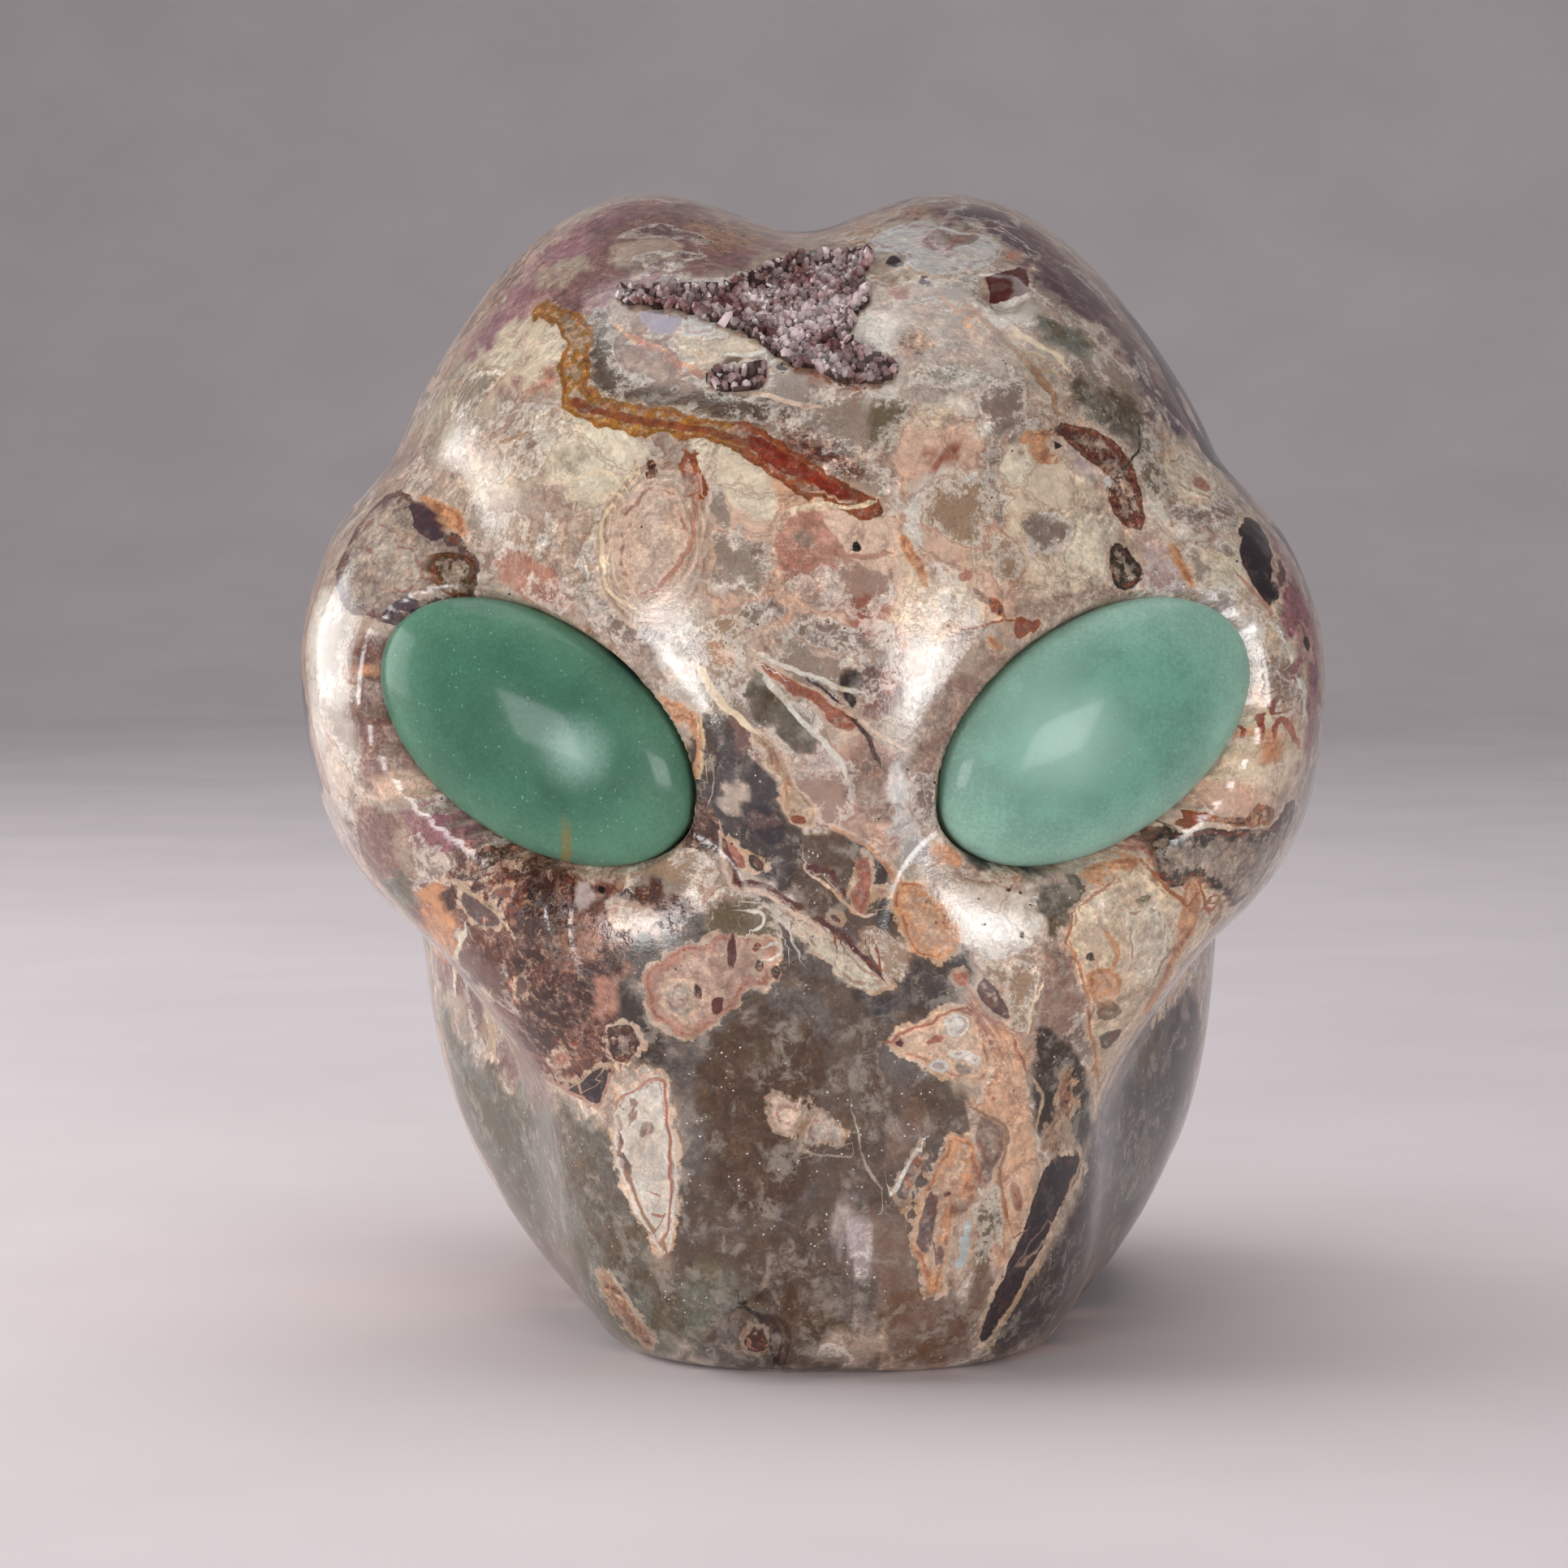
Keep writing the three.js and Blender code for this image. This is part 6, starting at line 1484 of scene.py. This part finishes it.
def make_cabochon(side, size, rings=40, spokes=128):
    """An oval dome on a flat back: rings of an ellipse whose height follows a quarter circle to the crown."""
    bevel = np.array([(0.0, -EYE_BACK), (0.6, -EYE_BACK), (0.93, -EYE_BACK), (0.98, -EYE_BACK + 0.25),
                      (1.0, -EYE_BACK + 0.8), (1.0, -0.9), (0.9985, -0.25)])
    angle = np.linspace(0.03, math.pi / 2, rings)
    dome = np.stack([np.cos(angle), EYE_DOME * np.sin(angle)], 1)
    profile = np.concatenate([bevel[1:], dome[:-1]])
    turn = np.arange(spokes) / spokes * 2 * math.pi
    ring = profile[:, :1] * np.cos(turn) * size[0] / 2
    rise = profile[:, :1] * np.sin(turn) * size[1] / 2
    height = np.repeat(profile[:, 1:], spokes, 1)
    local = np.stack([ring, -height, rise], 2).reshape(-1, 3)
    local = np.concatenate([local, [(0, EYE_BACK, 0), (0, -EYE_DOME, 0)]])
    count = len(profile)
    i, j = np.meshgrid(np.arange(count - 1), np.arange(spokes), indexing="ij")
    after = (j + 1) % spokes
    quads = np.stack([i * spokes + j, i * spokes + after, (i + 1) * spokes + after, (i + 1) * spokes + j], 2)
    spoke = np.arange(spokes)
    follow = (spoke + 1) % spokes
    last = (count - 1) * spokes
    back = np.stack([follow, spoke, np.full(spokes, count * spokes)], 1)
    crown = np.stack([last + spoke, last + follow, np.full(spokes, count * spokes + 1)], 1)
    places = local @ eye_axes(side).T + eye_centre(side)
    # painted rim light: nothing in the middle of the dome, all of it at the rim
    thin = smooth_step(0.45, 1.0, np.hypot(local[:, 0] / size[0], local[:, 2] / size[1]) * 2)
    attributes = {"thin": np.repeat(thin[:, None], 4, 1)}
    return places, [quads.reshape(-1, 4), np.concatenate([back, crown])], attributes

def pocket_floor(local, depth):
    """Heights along the pocket's axis where the stone, sunk by a depth, meets lines through these places."""
    axes, origin = pocket_axes(), np.array(POCKET_AT)
    start = origin + local @ axes[:, :2].T
    way = np.broadcast_to(axes[:, 2], start.shape)
    near, far = np.full(len(local), -12.0), np.full(len(local), 12.0)
    return bisect(lambda p: skull_form(p) + depth, start, way, near, far, 18)


def make_crystal_bed():
    """The crust that the crystals grow from: squares of a sheet over the pocket's floor, with walls."""
    i, j = np.meshgrid(np.arange(BED_SQUARES + 1), np.arange(BED_SQUARES + 1), indexing="ij")
    local = np.array(BED_LOW) + BED_STEP * np.stack([i.ravel(), j.ravel()], 1)
    number = np.arange(len(local)).reshape(i.shape)
    middles = local.reshape(*i.shape, 2)[:-1, :-1] + BED_STEP / 2
    kept = in_pocket(middles.reshape(-1, 2)).reshape(BED_SQUARES, BED_SQUARES) < 0.15
    quads = np.stack([number[:-1, :-1], number[1:, :-1], number[1:, 1:], number[:-1, 1:]], 2)
    top = quads[kept]
    count = len(local)
    padded = np.pad(kept, 1)
    walls = []
    for edge, neighbour in (((0, 1), padded[1:-1, :-2]), ((1, 2), padded[2:, 1:-1]),
                            ((2, 3), padded[1:-1, 2:]), ((3, 0), padded[:-2, 1:-1])):
        open_side = quads[kept & ~neighbour]
        a, b = open_side[:, edge[0]], open_side[:, edge[1]]
        walls.append(np.stack([a, a + count, b + count, b], 1))
    rise = pocket_floor(local, pocket_depth(local) - BED_RISE) + 0.15 * ripple(local, 1.6, 9)
    upper = to_pocket(local, rise)
    lower = to_pocket(local, rise - BED_THICKNESS)
    faces = np.concatenate([top, top[:, ::-1] + count, *walls])
    return drop_unused(np.concatenate([upper, lower]), faces)


def drop_unused(places, faces):
    """Leaves out the places that no face uses."""
    used, again = np.unique(faces, return_inverse=True)
    return places[used], again.reshape(faces.shape)


def to_pocket(local, rise):
    """Places in the stone from places and heights in the pocket's own frame."""
    return np.array(POCKET_AT) + np.column_stack([local, rise]) @ pocket_axes().T


def make_crystals(count, size, seed=12):
    """Six-sided crystals with blunt points, scattered over the pocket, each turned and tilted a little."""
    draw = np.random.default_rng(seed)
    spread = draw.uniform(CRYSTALS_FROM, CRYSTALS_TO, (count * 4, 2))
    spread = spread[in_pocket(spread) < 0.1]
    kept = []
    taken = np.full((len(spread), 2), 1e9)
    for number, place in enumerate(spread):
        if len(kept) == count:
            break
        near = np.hypot(*(taken[: len(kept)] - place).T)
        if len(kept) == 0 or near.min() > size * CRYSTAL_GAP:
            taken[len(kept)] = place
            kept.append(number)
    local = spread[kept]
    total = len(local)
    rise = pocket_floor(local, pocket_depth(local) - BED_RISE)
    base = to_pocket(local, rise)
    radius = size * draw.uniform(0.34, 0.7, total)
    height = radius * draw.uniform(1.0, 2.3, total)
    angle = np.arange(6) / 6 * 2 * math.pi
    ring = np.stack([np.cos(angle), np.sin(angle), np.zeros(6)], 1)
    profile = np.concatenate([ring - (0, 0, 0.9), ring * (1.0, 1.0, 0) + (0, 0, 0.45), [(0, 0, 1.0)]])
    shape = profile[None] * np.stack([radius, radius, height], 1)[:, None]
    # a random frame for each crystal, its axis within a cone about the pocket's own
    axis = pocket_axes()[:, 2] + CRYSTAL_TILT * draw.normal(size=(total, 3))
    axis /= np.linalg.norm(axis, axis=1, keepdims=True)
    across = np.cross(axis, draw.normal(size=(total, 3)))
    across /= np.linalg.norm(across, axis=1, keepdims=True)
    frames = np.stack([across, np.cross(axis, across), axis], 2)
    places = base[:, None] + np.einsum("nij,nkj->nki", frames, shape)
    i = np.arange(6)
    follow = (i + 1) % 6
    sides = np.stack([i, follow, follow + 6, i + 6], 1)
    points = np.stack([i + 6, follow + 6, np.full(6, 12)], 1)
    start = (np.arange(total) * 13)[:, None, None]
    sides = (sides + start).reshape(-1, 4)
    points = (points + start).reshape(-1, 3)
    floors = (np.arange(6)[None, ::-1] + start[:, 0]).reshape(-1, 6)
    shade = draw.uniform(0.2, 0.85, total)[:, None] * np.array([1.0, 0.86, 0.86])
    shade += draw.uniform(0, 0.12, total)[:, None] * np.array([1.0, 0.3, 0.25])
    tint = np.repeat(np.concatenate([shade, np.ones((total, 1))], 1), 13, 0)
    return places.reshape(-1, 3), [sides, points, floors], tint

def place_of_frame(places):
    """How far the carver's frame is moved sideways so that the skull stands where its solid does."""
    low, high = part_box("skull")
    middle = np.array([(low[k] + high[k]) / 2 / MM for k in range(2)] + [0.0])
    middle[:2] -= (places.min(0) + places.max(0))[:2] / 2
    return middle


class CarvingSettings(bpy.types.PropertyGroup):
    """Sizes and colours of the carving that a user would change."""

    eye_length: bpy.props.FloatProperty(
        name="Eye length", description="Longer way across a cabochon", default=0.030, unit="LENGTH")
    eye_width: bpy.props.FloatProperty(
        name="Eye width", description="Shorter way across a cabochon", default=0.0182, unit="LENGTH")
    gloss: bpy.props.FloatProperty(
        name="Roughness", description="Roughness of the polished stone", default=0.11, min=0, max=1,
        subtype="FACTOR")
    rim_tint: bpy.props.FloatVectorProperty(
        name="Rim tint", description="Pale edge round the stone's fragments", subtype="COLOR",
        default=tuple(linear("d8bca4")), size=3)
    left_eye: bpy.props.FloatVectorProperty(
        name="Left eye tint", description="Aventurine on the left of the picture", subtype="COLOR",
        default=tuple(linear("45745e")), size=3)
    right_eye: bpy.props.FloatVectorProperty(
        name="Right eye tint", description="Aventurine on the right of the picture", subtype="COLOR",
        default=tuple(linear("70a08e")), size=3)
    crystal_count: bpy.props.IntProperty(
        name="Crystals", description="Number of crystals in the pocket", default=2600, min=10)
    crystal_size: bpy.props.FloatProperty(
        name="Crystal size", description="Usual width of a crystal", default=0.00062, unit="LENGTH")
    crystal_tint: bpy.props.FloatVectorProperty(
        name="Crystal tint", description="Darker patches of the crystal crust", subtype="COLOR",
        default=tuple(linear("94706c")), size=3)
    floor_tint: bpy.props.FloatVectorProperty(
        name="Floor tint", description="Colour of the studio floor", subtype="COLOR",
        default=tuple(linear("f8eef0")), size=3)
    light_power: bpy.props.FloatProperty(
        name="Light", description="Strength of the studio lights against the usual", default=1.0, min=0)


class CARVING_OT_skull(bpy.types.Operator):
    """Build the skull of polished agate, with its markings"""

    bl_idname = "carving.skull"
    bl_label = "Skull"

    def execute(self, context):
        settings = context.scene.carving
        places, quads = make_skull_surface((settings.eye_length / MM, settings.eye_width / MM))
        attributes = paint_stone(places, vertex_normals(places, quads))
        material = make_agate(settings)
        moved = place_of_frame(places)
        piece = add_mesh("skull_stone", places + moved, [quads], material, attributes)
        context.scene["frame_shift"] = moved[:2].tolist()
        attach(piece, "root")
        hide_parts("skull")
        return {"FINISHED"}


def frame_shift():
    """The sideways move that the skull's operator kept, so that eyes and crystals sit in it."""
    return np.array([*bpy.context.scene["frame_shift"], 0.0])


class CARVING_OT_eyes(bpy.types.Operator):
    """Build the two aventurine cabochons in their sockets"""

    bl_idname = "carving.eyes"
    bl_label = "Eyes"

    def execute(self, context):
        settings = context.scene.carving
        size = (settings.eye_length / MM, settings.eye_width / MM)
        for side, label, highlight_spot, reach in EYES:
            tint = getattr(settings, label + "_eye")
            places, faces, attributes = make_cabochon(side, size)
            vein_at = (EYE_VEIN[0] + frame_shift()[0], EYE_VEIN[1]) if side < 0 else None
            painted_highlight_at = tuple(np.array(highlight_spot) + frame_shift())
            material = make_aventurine("Aventurine " + label, tuple(tint), painted_highlight_at, reach, vein_at)
            piece = add_mesh("cabochon_" + label, places + frame_shift(), faces, material, attributes)
            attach(piece, "root")
            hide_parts("eye_" + label)
        return {"FINISHED"}


class CARVING_OT_crystals(bpy.types.Operator):
    """Build the druzy crust in the crown's pocket"""

    bl_idname = "carving.crystals"
    bl_label = "Crystals"

    def execute(self, context):
        settings = context.scene.carving
        bed, squares = make_crystal_bed()
        places, faces, tint = make_crystals(settings.crystal_count, settings.crystal_size / MM)
        count = len(bed)
        every = np.concatenate([bed, places]) + frame_shift()
        tints = {"crystal_tint": np.concatenate([np.tile(BED_TINT, (count, 1)), tint])}
        faces = [squares] + [f + count for f in faces]
        piece = add_mesh("crystal_crust", every, faces, make_druzy(settings), tints, smooth=False)
        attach(piece, "root")
        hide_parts("druzy_crust")
        return {"FINISHED"}


def add_light(name, aim, azimuth, elevation, away, size, power):
    """A rectangular soft light that faces the aim; azimuth 0 is the camera's side, 90 the carving's left."""
    turn, rise = math.radians(azimuth), math.radians(elevation)
    way = Vector((-math.sin(turn) * math.cos(rise), -math.cos(turn) * math.cos(rise), math.sin(rise)))
    lamp = bpy.data.lights.new(name, "AREA")
    lamp.shape = "RECTANGLE"
    lamp.size, lamp.size_y = size
    lamp.energy = power
    holder = bpy.data.objects.new(name, lamp)
    holder.location = aim + way * away
    holder.rotation_euler = way.to_track_quat("Z", "Y").to_euler()
    bpy.context.scene.collection.objects.link(holder)


class CARVING_OT_studio(bpy.types.Operator):
    """Set the floor, the soft lights and the camera"""

    bl_idname = "carving.studio"
    bl_label = "Studio"

    def execute(self, context):
        settings = context.scene.carving
        power = settings.light_power
        # a floor whose profile curves up by a quarter circle behind the carving
        across = np.linspace(-FLOOR_HALF_WIDTH, FLOOR_HALF_WIDTH, 3)
        angle = np.linspace(0, math.pi / 2, 24)
        wall = FLOOR_CURVE_FROM + FLOOR_CURVE
        run = np.concatenate([[FLOOR_FRONT], FLOOR_CURVE_FROM + FLOOR_CURVE * np.sin(angle), [wall]])
        rise = np.concatenate([[0], FLOOR_CURVE - FLOOR_CURVE * np.cos(angle), [FLOOR_WALL_TOP]])
        x, y = np.meshgrid(across, run)
        places = np.stack([x.ravel(), y.ravel(), np.repeat(rise, 3)], 1)
        number = np.arange(len(places)).reshape(x.shape)
        quads = np.stack([number[:-1, :-1], number[:-1, 1:], number[1:, 1:], number[1:, :-1]], 2)
        floor = add_mesh("floor", places, [quads.reshape(-1, 4)], make_floor(settings))

        world = bpy.data.worlds.new("Soft daylight")
        world.use_nodes = True
        world.node_tree.nodes["Background"].inputs["Color"].default_value = (0.92, 0.95, 1.0, 1)
        world.node_tree.nodes["Background"].inputs["Strength"].default_value = 0.15 * power
        context.scene.world = world
        aim = Vector((0, -0.03, 0.05))
        for name, azimuth, elevation, away, size, strength in STUDIO_LIGHTS:
            add_light(name, aim, azimuth, elevation, away, size, strength * power)

        tilt = math.radians(VIEW_ELEVATION)
        back = Vector((0, -math.cos(tilt), math.sin(tilt)))
        shift = Vector([*context.scene["frame_shift"], 0])
        camera = bpy.data.objects.new("camera", bpy.data.cameras.new("camera"))
        camera.location = (Vector(VIEW_AIM) + shift + back * VIEW_DISTANCE) * MM
        camera.rotation_euler = back.to_track_quat("Z", "Y").to_euler()
        camera.data.sensor_fit = "HORIZONTAL"
        camera.data.sensor_width = SENSOR_WIDTH
        camera.data.lens = LENS
        camera.data.clip_start = 0.01
        context.scene.collection.objects.link(camera)
        context.scene.camera = camera
        context.scene.view_settings.view_transform = "Standard"
        return {"FINISHED"}


class CARVING_PT_panel(bpy.types.Panel):
    """Lists the carving's pieces and settings"""

    bl_label = "Agate alien skull"
    bl_idname = "CARVING_PT_panel"
    bl_space_type = "VIEW_3D"
    bl_region_type = "UI"
    bl_category = "Carving"

    def draw(self, context):
        settings = context.scene.carving
        for name in CarvingSettings.__annotations__:
            self.layout.prop(settings, name)
        for operator in OPERATORS:
            self.layout.operator(operator.bl_idname)


OPERATORS = (CARVING_OT_skull, CARVING_OT_eyes, CARVING_OT_crystals, CARVING_OT_studio)
CLASSES = (CarvingSettings, *OPERATORS, CARVING_PT_panel)


def register():
    for each in CLASSES:
        bpy.utils.register_class(each)
    bpy.types.Scene.carving = bpy.props.PointerProperty(type=CarvingSettings)


def unregister():
    del bpy.types.Scene.carving
    for each in reversed(CLASSES):
        bpy.utils.unregister_class(each)


def corners(bounds):
    """A box's two corners as plain lists."""
    return [[float(v) for v in corner] for corner in bounds]


def main():
    register()
    bpy.ops.carving.skull()
    bpy.ops.carving.eyes()
    bpy.ops.carving.crystals()
    bpy.ops.carving.studio()
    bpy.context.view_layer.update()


if __name__ == "__main__":
    main()
